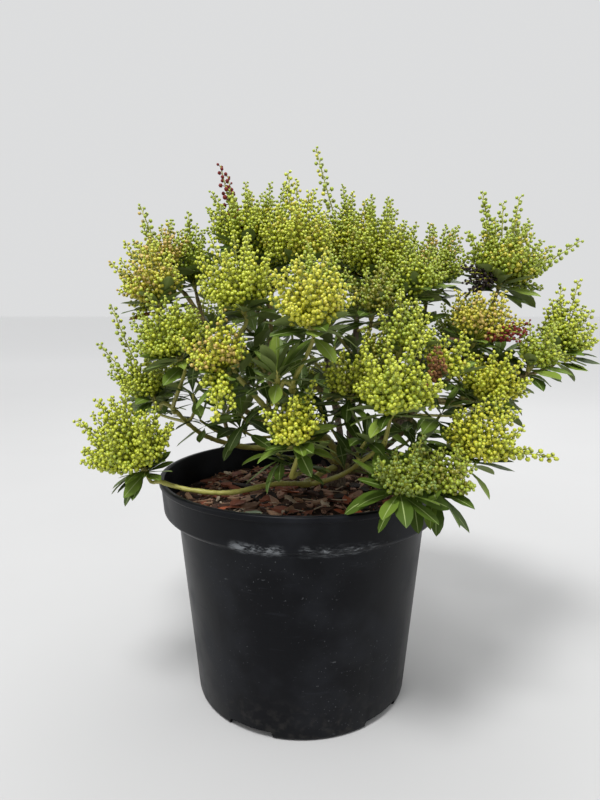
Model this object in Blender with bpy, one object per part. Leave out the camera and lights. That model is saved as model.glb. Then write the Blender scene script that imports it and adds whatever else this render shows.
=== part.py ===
"""Potted pieris: a low, wide evergreen shrub in bud, in a round black plastic nursery pot.

The frame: the origin is the middle of the pot's underside, +Z is up, the front is at -Y.
Sizes are in metres. Places in the crown are written in millimetres and turned to metres by at().
"""
import math
import random

import bmesh
import bpy
from mathutils import Vector

for old in list(bpy.data.objects):
    bpy.data.objects.remove(old)

UP = Vector((0.0, 0.0, 1.0))
MILLIMETRE = 0.001
GAP = 0.0004                     # clear space between two pieces that touch
GOLDEN_ANGLE = math.pi * (3.0 - math.sqrt(5.0))

# The pot, by radius and height
POT_HEIGHT = 0.2048
LIP_RADIUS = 0.1305
LIP_DEPTH = 0.0052
LIP_ROUND = 0.0011
BAND_TOP_RADIUS = 0.1288
BAND_FOOT_RADIUS = 0.1268
BAND_FOOT = 0.1745
BAND_ROUND = 0.0026
STEP_REACH = 0.0070
STEP_RISE = 0.0010
WALL_TOP_RADIUS = 0.1142
WALL_TOP = 0.1690
BASE_RADIUS = 0.0985
EDGE_ROUND = 0.0035
WALL = 0.0021
INNER_BAND_RADIUS = BAND_FOOT_RADIUS - WALL - 0.001
POT_SIDES = 28
NOTCHES = 5
NOTCH_TURN = math.radians(27.6)      # from +X to the first notch
NOTCH_WIDTH = 0.042
NOTCH_HEIGHT = 0.006
NOTCH_REACH = 0.011
NOTCH_OVERCUT = 0.006

# The compost that fills the pot, a little higher in the middle
SOIL_EDGE = 0.1765
SOIL_CROWN = 0.0050

# The trunk stands in the compost, right of the middle of the pot
TRUNK_FOOT = (34, 24)
TRUNK_TOP = (45, 20, 216)
TRUNK_FLARE_RADIUS = 0.0135
TRUNK_FOOT_RADIUS = 0.0085
TRUNK_TOP_RADIUS = 0.0066
FLARE_HEIGHT = 0.016

# The flower heads: racemes that radiate from the foot of a panicle, leaves in a whorl under it
CROWN_HEART = (30, 0, 260)
OUTWARD_LEAN = 0.42
SPREAD = math.radians(66)
RACEME_RADIUS = 0.0072
RACEME_RINGS = ((0.22, 0.20), (0.55, 1.0), (0.86, 0.66))
RACEME_SIDES = 4
RACEME_CURL = 0.20
RACEME_LEVEL = 0.25
RACEME_FIRST, RACEME_FALLOFF = 1.30, 0.62
RACEME_LENGTHS = (1.0, 0.8, 0.6)
LEAF_SLENDER = 0.39
LEAF_THICKNESS = 0.0016
LEAF_TIERS = (math.radians(98), math.radians(82))
ROSETTE_TIERS = (math.radians(68), math.radians(40))
LEAF_LIFT = 0.30
LEAF_DROOP = 0.10
LEAF_WIDEST = 0.62
LEAF_LENGTHS = (1.0, 0.75)
HEART_RADIUS = 0.0046
HEART_LENGTH = 0.012
TWIG_RADIUS = 0.0020
TWIG_TAPER = 0.3
FIRST_STRETCH = 0.006


def at(x, y, z):
    """A place in the crown, given in millimetres."""
    return Vector((x, y, z)) * MILLIMETRE


def paint(obj, colour, roughness):
    """Give a piece its own plain material."""
    material = bpy.data.materials.new(obj.name)
    material.use_nodes = True
    shader = material.node_tree.nodes["Principled BSDF"]
    shader.inputs["Base Color"].default_value = (*colour, 1.0)
    shader.inputs["Roughness"].default_value = roughness
    shader.inputs["Metallic"].default_value = 0.0
    obj.data.materials.clear()
    obj.data.materials.append(material)


def add(name, bm, smooth_angle=None):
    """Turn a bmesh into an object of the scene."""
    mesh = bpy.data.meshes.new(name)
    bm.to_mesh(mesh)
    bm.free()
    if smooth_angle is not None:
        mesh.shade_smooth()
        mesh.set_sharp_from_angle(angle=smooth_angle)
    obj = bpy.data.objects.new(name, mesh)
    bpy.context.scene.collection.objects.link(obj)
    return obj


def turned(profile, sides):
    """A solid of revolution round Z; the profile starts and ends on the axis."""
    bm = bmesh.new()
    rings = []
    for radius, height in profile:
        if radius == 0.0:
            rings.append([bm.verts.new((0.0, 0.0, height))] * sides)
            continue
        turns = [2.0 * math.pi * k / sides for k in range(sides)]
        rings.append([bm.verts.new((radius * math.cos(a), radius * math.sin(a), height)) for a in turns])
    for upper, lower in zip(rings, rings[1:]):
        for k in range(sides):
            corners = [upper[k], lower[k], lower[(k + 1) % sides], upper[(k + 1) % sides]]
            bm.faces.new(list(dict.fromkeys(corners)))
    return bm


def frames(path):
    """A pair of cross directions at each point of a path, carried along without twist."""
    tangents = []
    for k in range(len(path)):
        ahead = path[min(k + 1, len(path) - 1)] - path[max(k - 1, 0)]
        tangents.append(ahead.normalized())
    side = tangents[0].orthogonal().normalized()
    result = []
    for tangent in tangents:
        side = (side - tangent * side.dot(tangent)).normalized()
        result.append((side, tangent.cross(side)))
    return result


def tube(path, radii, sides, twist=0.0):
    """A closed limb along a path; its rings may twist, and a ring of no radius is a point."""
    bm = bmesh.new()
    rings = []
    for k, (centre, radius, (side, other)) in enumerate(zip(path, radii, frames(path))):
        if radius == 0.0:
            rings.append([bm.verts.new(centre)] * sides)
            continue
        ring = []
        for n in range(sides):
            turn = 2.0 * math.pi * n / sides + k * twist
            ring.append(bm.verts.new(centre + radius * (math.cos(turn) * side + math.sin(turn) * other)))
        rings.append(ring)
    if radii[0]:
        bm.faces.new(list(reversed(rings[0])))
    for low, high in zip(rings, rings[1:]):
        for k in range(sides):
            nxt = (k + 1) % sides
            if low[k] is not low[nxt]:
                bm.faces.new([low[k], low[nxt], high[nxt]])
            if high[k] is not high[nxt]:
                bm.faces.new([low[k], high[nxt], high[k]])
    if radii[-1]:
        bm.faces.new(rings[-1])
    return bm


def smooth_path(points, steps):
    """Points on a smooth curve that runs through the given ones."""
    ends = [2.0 * points[0] - points[1]] + points + [2.0 * points[-1] - points[-2]]
    path = []
    for p0, p1, p2, p3 in zip(ends, ends[1:], ends[2:], ends[3:]):
        for k in range(steps):
            t = k / steps
            path.append(0.5 * (2.0 * p1 + (p2 - p0) * t + (2.0 * p0 - 5.0 * p1 + 4.0 * p2 - p3) * t ** 2
                               + (3.0 * p1 - p0 - 3.0 * p2 + p3) * t ** 3))
    return path + [points[-1]]


def started_path(points):
    """A smooth curve whose first stretch stays straight, so that its foot lies flat."""
    return [points[0]] + smooth_path(points[1:], 2)


def soil_height(x, y):
    """Height of the compost's surface at a place."""
    share = (x * x + y * y) / BAND_FOOT_RADIUS ** 2
    return SOIL_EDGE + SOIL_CROWN * (1.0 - share)


def make_pot():
    """Moulded pot: lip, deep band, tapered wall and flat base with drainage notches in its edge."""
    mouth = BAND_TOP_RADIUS - WALL - LIP_ROUND
    edge_cut = 0.3 * EDGE_ROUND
    outside = [
        (0.0, 0.0), (BASE_RADIUS - EDGE_ROUND, 0.0), (BASE_RADIUS - edge_cut, edge_cut),
        (BASE_RADIUS, EDGE_ROUND), (WALL_TOP_RADIUS, WALL_TOP),
        (WALL_TOP_RADIUS + STEP_REACH, WALL_TOP + STEP_RISE),
        (BAND_FOOT_RADIUS - BAND_ROUND / 2.0, BAND_FOOT - BAND_ROUND), (BAND_FOOT_RADIUS, BAND_FOOT),
        (BAND_TOP_RADIUS, POT_HEIGHT - LIP_DEPTH), (LIP_RADIUS, POT_HEIGHT - LIP_DEPTH + LIP_ROUND),
        (LIP_RADIUS, POT_HEIGHT - LIP_ROUND), (LIP_RADIUS - LIP_ROUND, POT_HEIGHT)]
    inside = [
        (mouth + LIP_ROUND, POT_HEIGHT), (mouth, POT_HEIGHT - LIP_ROUND),
        (INNER_BAND_RADIUS, BAND_FOOT), (WALL_TOP_RADIUS - WALL, WALL_TOP + WALL),
        (BASE_RADIUS - WALL, 1.5 * WALL), (0.0, WALL)]
    pot = add("pot", turned(list(reversed(outside + inside)), POT_SIDES), math.radians(35))
    for k in range(NOTCHES):
        turn = NOTCH_TURN + 2.0 * math.pi * k / NOTCHES
        bm = bmesh.new()
        bmesh.ops.create_cube(bm, size=1.0)
        cutter = add(f"notch_{k + 1}", bm)
        reach = BASE_RADIUS + (NOTCH_OVERCUT - NOTCH_REACH) / 2.0
        cutter.location = (reach * math.cos(turn), reach * math.sin(turn), 0.0)
        cutter.scale = (NOTCH_REACH + NOTCH_OVERCUT, NOTCH_WIDTH, 2.0 * NOTCH_HEIGHT)
        cutter.rotation_euler = (0.0, 0.0, turn)
        cutter.hide_render = True
        cutter.display_type = "WIRE"
        cut = pot.modifiers.new(cutter.name, "BOOLEAN")
        cut.operation = "DIFFERENCE"
        cut.solver = "EXACT"
        cut.object = cutter
    paint(pot, (0.012, 0.013, 0.015), 0.45)


def make_soil():
    """Compost: a plug that fills the pot to a finger's length under the lip, a little domed on top."""
    inner = INNER_BAND_RADIUS - GAP
    ledge = WALL_TOP_RADIUS - WALL - GAP
    foot = BASE_RADIUS - WALL - GAP
    top = [(share * inner, soil_height(share * inner, 0.0)) for share in (0.0, 0.6, 1.0)]
    side = [(inner, BAND_FOOT + GAP), (ledge, WALL_TOP + WALL + GAP), (foot, 1.5 * WALL + GAP),
            (0.0, WALL + GAP)]
    soil = add("compost", turned(top + side, POT_SIDES))
    paint(soil, (0.055, 0.028, 0.018), 0.95)


class Limb:
    """One tapering limb: its centre line, its radius along that, and its solid."""

    def __init__(self, name, points, foot_radius, tip_radius, sides=5):
        self.name = name
        self.path = started_path(points)
        count = len(self.path) - 1
        self.radii = [foot_radius + (tip_radius - foot_radius) * k / count for k in range(count + 1)]
        self.sides = sides

    def side(self, share, towards):
        """A point just clear of the limb's side at a share of its length, and the way out of it there."""
        lengths = [(after - before).length for before, after in zip(self.path, self.path[1:])]
        left = share * sum(lengths)
        k = 0
        while left > lengths[k] and k < len(lengths) - 1:
            left -= lengths[k]
            k += 1
        centre = self.path[k].lerp(self.path[k + 1], left / lengths[k])
        radius = self.radii[k] + (self.radii[k + 1] - self.radii[k]) * left / lengths[k]
        along = (self.path[k + 1] - self.path[k]).normalized()
        away = towards - centre
        away = (away - along * away.dot(along)).normalized()
        side, other = frames(self.path)[k]
        turn = math.atan2(away.dot(other), away.dot(side))
        facet = 2.0 * math.pi / self.sides
        off_ridge = turn - facet * round(turn / facet)
        return centre + away * (radius * math.cos(off_ridge) + GAP), away

    def tip(self):
        """The limb's end, and the direction it points in there."""
        return self.path[-1], (self.path[-1] - self.path[-2]).normalized()

    def make(self, colour, roughness):
        """The limb's own object."""
        limb = add(self.name, tube(self.path, self.radii, self.sides), math.radians(60))
        paint(limb, colour, roughness)


# Boughs: parent, share of its length, foot and tip radius in mm, then the route's places in mm, tip last
BOUGHS = {
    "top": ("trunk", 1.0, 5.8, 2.4, [(48, 22, 255), (52, 32, 320), (55, 40, 374)]),
    "upper_left": ("trunk", 0.62, 4.6, 2.3, [(-5, 38, 226), (-62, 38, 262), (-90, 18, 338)]),
    "right": ("trunk", 0.86, 4.6, 2.3, [(92, 14, 246), (142, 8, 296), (168, 4, 345)]),
    "front_right": ("trunk", 0.72, 4.0, 2.2, [(78, -10, 216), (104, -34, 226), (122, -58, 238)]),
    "front": ("trunk", 0.80, 4.2, 2.2, [(26, -20, 236), (6, -56, 264), (-6, -86, 292)]),
    "back": ("trunk", 0.90, 4.6, 2.3, [(38, 62, 240), (30, 104, 284), (26, 118, 330)]),
    "low_front": ("trunk", 0.52, 3.2, 2.0, [(0, -12, 194), (34, -44, 212), (60, -100, 250)]),
    "low_left": ("low_front", 0.34, 2.8, 2.0,
                 [(-24, -50, 206), (-60, -68, 204), (-92, -70, 207), (-113, -65, 211)]),
    "lower_left": ("upper_left", 0.22, 3.6, 2.1, [(-58, 48, 216), (-96, 24, 234), (-115, -3, 261)]),
    "top_left": ("upper_left", 0.42, 3.4, 2.1, [(-30, 28, 300), (-28, 20, 372)]),
    "front_left": ("front", 0.36, 3.2, 2.1, [(-24, -44, 266), (-54, -58, 302)]),
    "foot_front": ("front", 0.58, 2.8, 2.0, [(2, -70, 226), (-5, -84, 224)]),
    "middle": ("top", 0.34, 3.2, 2.1, [(52, -14, 282), (50, -36, 298)]),
    "right_front_upper": ("front_right", 0.34, 3.0, 2.1, [(92, -40, 256), (88, -60, 292)]),
    "low_right": ("front_right", 0.62, 2.8, 2.0, [(96, -78, 215), (84, -106, 212)]),
    "upper_right": ("right", 0.34, 3.2, 2.1, [(112, 30, 300), (120, 38, 362)]),
    "far_right": ("right", 0.56, 3.2, 2.1, [(160, -12, 274), (184, -22, 290)]),
    "back_right": ("right", 0.24, 3.2, 2.1, [(110, 60, 246), (136, 84, 286)]),
    "back_low": ("back", 0.42, 3.0, 2.1, [(64, 118, 246), (70, 136, 256)]),
    "back_left": ("back", 0.55, 3.2, 2.1, [(-14, 112, 290), (-40, 116, 316)]),
    "back_low_left": ("lower_left", 0.48, 2.8, 2.0, [(-84, 96, 240), (-84, 112, 262)]),
}

# Heads of each bough: foot of the panicle in mm, length of its racemes in mm, racemes, leaves,
# length of a leaf in mm. The first head ends the bough's own line, and the others fork from it.
HEADS = {
    "top": [((65, 30, 383), 68, 5, 4, 37), ((48, 52, 397), 58, 4, 4, 38)],
    "upper_left": [((-123, -24, 360), 50, 5, 5, 38), ((-123, 22, 390), 43, 4, 4, 38),
                   ((-104, 42, 379), 50, 4, 4, 40)],
    "right": [((178, 0, 377), 57, 5, 7, 44)],
    "front_right": [((150, -50, 279), 52, 5, 5, 40), ((131, -88, 238), 52, 4, 5, 40)],
    "front": [((7, -112, 342), 48, 6, 5, 40), ((-19, -92, 303), 14, 0, 7, 44)],
    "back": [((20, 132, 352), 48, 4, 4, 42), ((44, 104, 384), 50, 4, 4, 42)],
    "low_front": [((66, -114, 280), 50, 6, 6, 40)],
    "low_left": [((-131, -62, 222), 60, 7, 6, 30)],
    "lower_left": [((-102, -46, 314), 56, 5, 5, 40), ((-137, 2, 273), 46, 4, 5, 38)],
    "top_left": [((-2, 2, 393), 60, 4, 4, 38), ((-55, 30, 412), 52, 5, 4, 38),
                 ((-36, 44, 399), 58, 4, 3, 36)],
    "front_left": [((-60, -88, 307), 42, 4, 5, 36), ((-47, -58, 355), 52, 5, 4, 40)],
    "foot_front": [((-4, -104, 256), 36, 5, 6, 34)],
    "middle": [((60, -30, 350), 42, 4, 4, 38), ((39, -70, 286), 40, 3, 4, 36),
               ((68, -54, 312), 34, 3, 3, 34)],
    "right_front_upper": [((78, -70, 322), 38, 4, 5, 40), ((108, -80, 303), 32, 4, 4, 40)],
    "low_right": [((71, -130, 225), 36, 4, 5, 40), ((101, -110, 219), 40, 4, 5, 42)],
    "upper_right": [((124, 42, 378), 52, 4, 5, 42), ((92, 76, 386), 46, 4, 4, 40)],
    "far_right": [((229, -10, 315), 42, 4, 6, 38), ((147, -34, 327), 46, 4, 4, 36),
                  ((192, -46, 307), 34, 4, 4, 36)],
    "back_right": [((164, 86, 316), 50, 4, 5, 42), ((108, 112, 330), 42, 4, 4, 42)],
    "back_low": [((78, 152, 266), 48, 4, 5, 42), ((24, 150, 262), 42, 4, 4, 42)],
    "back_left": [((-62, 122, 344), 50, 4, 4, 42), ((-28, 84, 392), 48, 4, 4, 42)],
    "back_low_left": [((-116, 108, 286), 48, 4, 5, 42), ((-46, 142, 276), 44, 4, 4, 42)],
}

# Single long racemes that stand out of the crown, by bough and head: places of their tips in mm
SPIKES = {
    "top 1": [(14, 48, 504)], "upper_left 1": [(-148, 24, 448)], "upper_left 2": [(-107, 40, 444)],
    "right 0": [(247, 0, 414), (159, 0, 455), (182, 14, 449), (192, 0, 452), (144, -14, 420)],
    "front_right 1": [(193, -104, 243)], "lower_left 1": [(-172, 2, 357), (-184, 0, 323)],
    "front_left 0": [(-62, -128, 276)], "top_left 0": [(-12, 10, 474)], "top_left 1": [(-74, 26, 484)],
    "far_right 0": [(244, -10, 379), (233, 0, 375), (252, -22, 322), (255, -14, 352)],
    "low_left 0": [(-184, -64, 264), (-166, -66, 281), (-179, -66, 238)],
}


class Head:
    """One panicle with its leaf whorl: where it stands and which way it grows."""

    def __init__(self, bough, number, foot, length, racemes, leaves, leaf_length):
        self.key = f"{bough} {number}"
        self.bough = bough
        self.foot = at(*foot)
        self.length = length * MILLIMETRE
        self.racemes = racemes
        self.leaves = leaves
        self.leaf_length = leaf_length * MILLIMETRE
        outward = (self.foot - at(*CROWN_HEART)).normalized()
        self.axis = (UP + OUTWARD_LEAN * outward).normalized()
        self.centre = self.foot + self.axis * self.length * 0.35
        self.spikes = [at(*tip) for tip in SPIKES.get(self.key, ())]

    def direction(self, lean, turn):
        """A direction that leans from the head's own axis."""
        side = self.axis.orthogonal().normalized()
        other = self.axis.cross(side)
        flat = math.cos(turn) * side + math.sin(turn) * other
        return (math.cos(lean) * self.axis + math.sin(lean) * flat).normalized()


def raceme_path(root, way, length):
    """Centre line of a raceme: it curls up to its tip, or droops to it where it grows level."""
    curl = UP * (RACEME_CURL if way.z > RACEME_LEVEL else -RACEME_CURL)
    shares = [0.0] + [share for share, _ in RACEME_RINGS] + [1.0]
    return [root + length * (way * share + curl * share * (share - 1.0)) for share in shares]


def raceme_rule(head):
    """The head's racemes as root, direction and length, spread evenly round the axis, then its spikes."""
    dice = random.Random(head.key)
    root = head.foot + head.axis * TWIG_RADIUS
    for k in range(head.racemes):
        lean = SPREAD * math.sqrt((k + 0.4) / head.racemes)
        turn = k * GOLDEN_ANGLE + dice.uniform(-0.2, 0.2)
        share = RACEME_FIRST - RACEME_FALLOFF * lean / SPREAD + dice.uniform(-0.08, 0.08)
        yield root, head.direction(lean, turn), head.length * share
    for tip in head.spikes:
        yield root, (tip - root).normalized(), (tip - root).length


def leaf_rule(head):
    """The leaves of the whorl as direction and length: near level, or steep round a bare heart."""
    dice = random.Random("leaves " + head.key)
    tiers = LEAF_TIERS if head.racemes else ROSETTE_TIERS
    for k in range(head.leaves):
        lean = tiers[k % 2] + dice.uniform(-0.07, 0.07)
        turn = (k + 0.5) * 2.0 * math.pi / head.leaves + dice.uniform(-0.15, 0.15)
        way = (head.direction(lean, turn) + UP * LEAF_LIFT).normalized()
        yield way, head.leaf_length * dice.uniform(0.9, 1.1)


def leaf(root, way, length):
    """A leaf of eight faces, widest past its middle, its root sunk in the twig."""
    across = way.cross(UP).normalized()
    face = across.cross(way).normalized()
    droop = -UP * LEAF_DROOP * length
    wide = root + way * length * LEAF_WIDEST + droop * 0.3
    middle = root + way * length * 0.5 + droop * 0.2
    bm = bmesh.new()
    start = bm.verts.new(root)
    end = bm.verts.new(root + way * length + droop)
    half = length * LEAF_SLENDER / 2.0
    rim = [wide + across * half, middle + face * LEAF_THICKNESS / 2.0,
           wide - across * half, middle - face * LEAF_THICKNESS / 2.0]
    rim = [bm.verts.new(place) for place in rim]
    for k in range(4):
        bm.faces.new([start, rim[(k + 1) % 4], rim[k]])
        bm.faces.new([end, rim[k], rim[(k + 1) % 4]])
    bmesh.ops.recalc_face_normals(bm, faces=bm.faces)
    return bm


def leaf_points(root, way, length):
    """Places on a leaf's outline that have to stay clear of everything else."""
    across = way.cross(UP).normalized() * length * LEAF_SLENDER / 2.0
    for share, width in ((0.3, 0.5), (LEAF_WIDEST, 1.0), (0.85, 0.5), (1.0, 0.0)):
        middle = root + way * length * share
        yield from (middle, middle + across * width, middle - across * width)


def stretch_distance(point, start, end):
    """Distance from a point to a straight stretch."""
    along = end - start
    share = max(0.0, min(1.0, (point - start).dot(along) / along.length_squared))
    return (point - start - along * share).length


class Space:
    """What bounds each mass: the halfway planes to the other masses' heads, the limbs and the pot."""

    def __init__(self, heads, limbs):
        self.heads = heads
        self.limbs = limbs

    def inside(self, head, point, radius):
        """True where a ball round the point keeps to the head's own mass."""
        mass = [other for other in self.heads if other.bough == head.bough]
        own = min(mass, key=lambda other: (point - other.centre).length)
        for other in self.heads:
            if other.bough == head.bough:
                continue
            apart = (other.centre - own.centre).length
            squares = (point - other.centre).length_squared - (point - own.centre).length_squared
            if squares / (2.0 * apart) < radius + GAP:
                return False
        rim = math.hypot(point.x, point.y) - LIP_RADIUS
        return point.z - radius > POT_HEIGHT + GAP or rim - radius > GAP

    def clear(self, head, point, radius):
        """True where the ball also touches no limb and no twig of another mass."""
        for owner, start, end, thick in self.limbs:
            if owner != head.bough and stretch_distance(point, start, end) < radius + thick + GAP:
                return False
        return self.inside(head, point, radius)


def fuse(name, pieces):
    """Join the pieces of one mass in a single union, and keep the one outer body."""
    group = bpy.data.collections.new(name + " pieces")
    for k, piece in enumerate(pieces[1:]):
        part = add(f"{name} piece {k}", piece)
        bpy.context.scene.collection.objects.unlink(part)
        group.objects.link(part)
    bpy.context.scene.collection.children.link(group)
    body = add(name, pieces[0])
    stem = body.data.copy()
    for solver in ("EXACT", "MANIFOLD"):
        body.data = stem.copy()
        join = body.modifiers.new("join", "BOOLEAN")
        join.operation = "UNION"
        join.operand_type = "COLLECTION"
        join.solver = solver
        join.collection = group
        bpy.ops.object.select_all(action="DESELECT")
        bpy.context.view_layer.objects.active = body
        body.select_set(True)
        bpy.ops.object.modifier_apply(modifier=join.name)
        if keep_outer_body(body.data):
            break
    for part in list(group.objects):
        bpy.data.objects.remove(part)
    bpy.data.collections.remove(group)
    return body


def keep_outer_body(mesh):
    """Drop loose scraps and the walls of sealed hollows; True where the shell that stays is closed."""
    bm = bmesh.new()
    bm.from_mesh(mesh)
    bmesh.ops.remove_doubles(bm, verts=bm.verts, dist=0.0000002)
    bmesh.ops.triangulate(bm, faces=bm.faces)
    left = set(bm.faces)
    shells = []
    while left:
        shell = []
        front = [left.pop()]
        while front:
            face = front.pop()
            shell.append(face)
            for edge in face.edges:
                for other in edge.link_faces if len(edge.link_faces) == 2 else ():
                    if other in left:
                        left.remove(other)
                        front.append(other)
        shells.append(shell)
    largest = set(max(shells, key=len))
    bmesh.ops.delete(bm, geom=[face for face in bm.faces if face not in largest], context="FACES")
    closed = all(len(edge.link_faces) == 2 for edge in bm.edges)
    bm.to_mesh(mesh)
    bm.free()
    return closed


def make_limbs():
    """The trunk with its flare, then every bough from the one it leaves."""
    foot = at(*TRUNK_FOOT, 0)
    inner_side = 1.0 - TRUNK_FLARE_RADIUS / foot.length
    foot.z = soil_height(foot.x * inner_side, foot.y * inner_side) + GAP
    flare_top = foot + UP * FLARE_HEIGHT
    trunk = Limb("trunk", [foot, flare_top, flare_top.lerp(at(*TRUNK_TOP), 0.5), at(*TRUNK_TOP)],
                 TRUNK_FOOT_RADIUS, TRUNK_TOP_RADIUS, 8)
    trunk.path.insert(1, foot.lerp(flare_top, 0.35))
    trunk.radii = [TRUNK_FLARE_RADIUS, (TRUNK_FLARE_RADIUS + TRUNK_FOOT_RADIUS) / 2.0] + trunk.radii[1:]
    limbs = {"trunk": trunk}
    for name, (parent, share, foot_radius, tip_radius, route) in BOUGHS.items():
        route = [at(*place) for place in route]
        if share == 1.0:
            tip, way = limbs[parent].tip()
            start = tip + way * GAP
        else:
            start, way = limbs[parent].side(share, route[0])
        first = start + way * FIRST_STRETCH
        limbs[name] = Limb(name + "_bough", [start, first] + route,
                           foot_radius * MILLIMETRE, tip_radius * MILLIMETRE)
    return limbs


def twig_paths(heads, bough):
    """The mass's stem from the bough's tip to the first head, and the forks to the others."""
    tip, way = bough.tip()
    start = tip + way * GAP
    fork = start + way * FIRST_STRETCH
    paths = [[start, fork, heads[0].foot - heads[0].axis * HEART_LENGTH, heads[0].foot]]
    for head in heads[1:]:
        paths.append([fork, fork.lerp(head.foot, 0.5), head.foot - head.axis * HEART_LENGTH, head.foot])
    return paths


def head_pieces(head, space):
    """The solids of one head: its heart, its racemes and its leaves, each kept where it is clear."""
    heart = [head.foot + head.axis * HEART_LENGTH * share for share in (-0.4, 0.0, 0.6)]
    yield tube(heart, [0.0, HEART_RADIUS, 0.0], 6)
    radii = [0.0] + [RACEME_RADIUS * size for _, size in RACEME_RINGS] + [0.0]
    for root, way, length in raceme_rule(head):
        for share in RACEME_LENGTHS:
            path = raceme_path(root, way, length * share)
            if all(space.clear(head, place, radius) for place, radius in zip(path[1:], radii[1:])):
                yield tube(path, radii, RACEME_SIDES, math.pi / RACEME_SIDES)
                break
    for way, length in leaf_rule(head):
        for share in LEAF_LENGTHS:
            points = leaf_points(head.foot, way, length * share)
            if all(space.clear(head, place, LEAF_THICKNESS) for place in points):
                yield leaf(head.foot, way, length * share)
                break


def make_plant():
    """Limbs first, then each mass of foliage in the space that they and the other masses leave."""
    limbs = make_limbs()
    heads = [Head(bough, k, *row) for bough, rows in HEADS.items() for k, row in enumerate(rows)]
    twigs = {name: twig_paths([h for h in heads if h.bough == name], limbs[name]) for name in HEADS}
    stretches = []
    for limb in limbs.values():
        limb.make((0.16, 0.11, 0.065), 0.8)
        for start, end, radius in zip(limb.path, limb.path[1:], limb.radii):
            stretches.append(("", start, end, radius))
    for name, paths in twigs.items():
        for path in paths:
            stretches += [(name, start, end, TWIG_RADIUS) for start, end in zip(path, path[1:])]
    space = Space(heads, stretches)
    for name, paths in twigs.items():
        pieces = []
        for path in paths:
            radii = [TWIG_RADIUS * (1.0 - TWIG_TAPER * n / len(path)) for n in range(len(path))]
            pieces.append(tube(path, radii, 3))
        for head in (h for h in heads if h.bough == name):
            pieces += head_pieces(head, space)
        mass = fuse(name + "_foliage", pieces)
        paint(mass, (0.30, 0.36, 0.06), 0.6)


make_pot()
make_soil()
make_plant()
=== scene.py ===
import random
from math import atan2, cos, pi, radians, sin, sqrt, tan

import bpy
import numpy as np
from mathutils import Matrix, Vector


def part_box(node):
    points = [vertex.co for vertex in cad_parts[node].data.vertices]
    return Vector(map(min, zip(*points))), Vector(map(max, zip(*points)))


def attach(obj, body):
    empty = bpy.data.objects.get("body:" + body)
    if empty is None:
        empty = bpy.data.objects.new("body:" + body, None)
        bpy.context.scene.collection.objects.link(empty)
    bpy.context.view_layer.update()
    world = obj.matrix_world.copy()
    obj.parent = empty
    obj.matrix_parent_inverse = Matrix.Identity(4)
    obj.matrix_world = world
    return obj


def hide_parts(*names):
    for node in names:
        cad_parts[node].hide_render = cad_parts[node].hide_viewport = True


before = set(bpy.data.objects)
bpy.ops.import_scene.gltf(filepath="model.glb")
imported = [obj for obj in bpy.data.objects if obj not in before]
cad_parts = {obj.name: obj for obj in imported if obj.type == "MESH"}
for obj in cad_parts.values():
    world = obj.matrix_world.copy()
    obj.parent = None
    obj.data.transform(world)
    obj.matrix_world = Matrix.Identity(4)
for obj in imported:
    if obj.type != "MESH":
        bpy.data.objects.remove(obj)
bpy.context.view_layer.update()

bpy.ops.object.select_all(action="DESELECT")

# The pot
# A round 7.5-litre nursery pot, moulded in black plastic: a tapered wall, a deep band under the
# rolled lip, and drainage notches in the foot. Stacking has scuffed the foot of the band chalky.
TURN = 2.0 * pi
POT_FACETS = 144
POT_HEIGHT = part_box("pot")[1][2]
LIP_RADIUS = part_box("pot")[1][0]
LIP_DEPTH = 0.0052
BAND_TOP_RADIUS, BAND_FOOT_RADIUS, BAND_FOOT = 0.1288, 0.1268, 0.1745
WALL_TOP_RADIUS, WALL_TOP = 0.1142, 0.1690
BASE_RADIUS = 0.0985
WALL = 0.0021
NOTCHES, NOTCH_WIDTH, NOTCH_HEIGHT, NOTCH_REACH = 5, 0.042, 0.006, 0.011
NOTCH_TURN = radians(27.6)


class Wire:
    """A value that a material works out over a surface; arithmetic on it adds Math nodes."""

    def __init__(self, finish, socket):
        self.finish, self.socket = finish, socket

    def maths(self, operation, other):
        return self.finish.node("Math", {"operation": operation}, {0: self, 1: other})

    def __add__(self, other):
        return self.maths("ADD", other)

    def __mul__(self, other):
        return self.maths("MULTIPLY", other)

    __radd__, __rmul__ = __add__, __mul__


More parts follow.
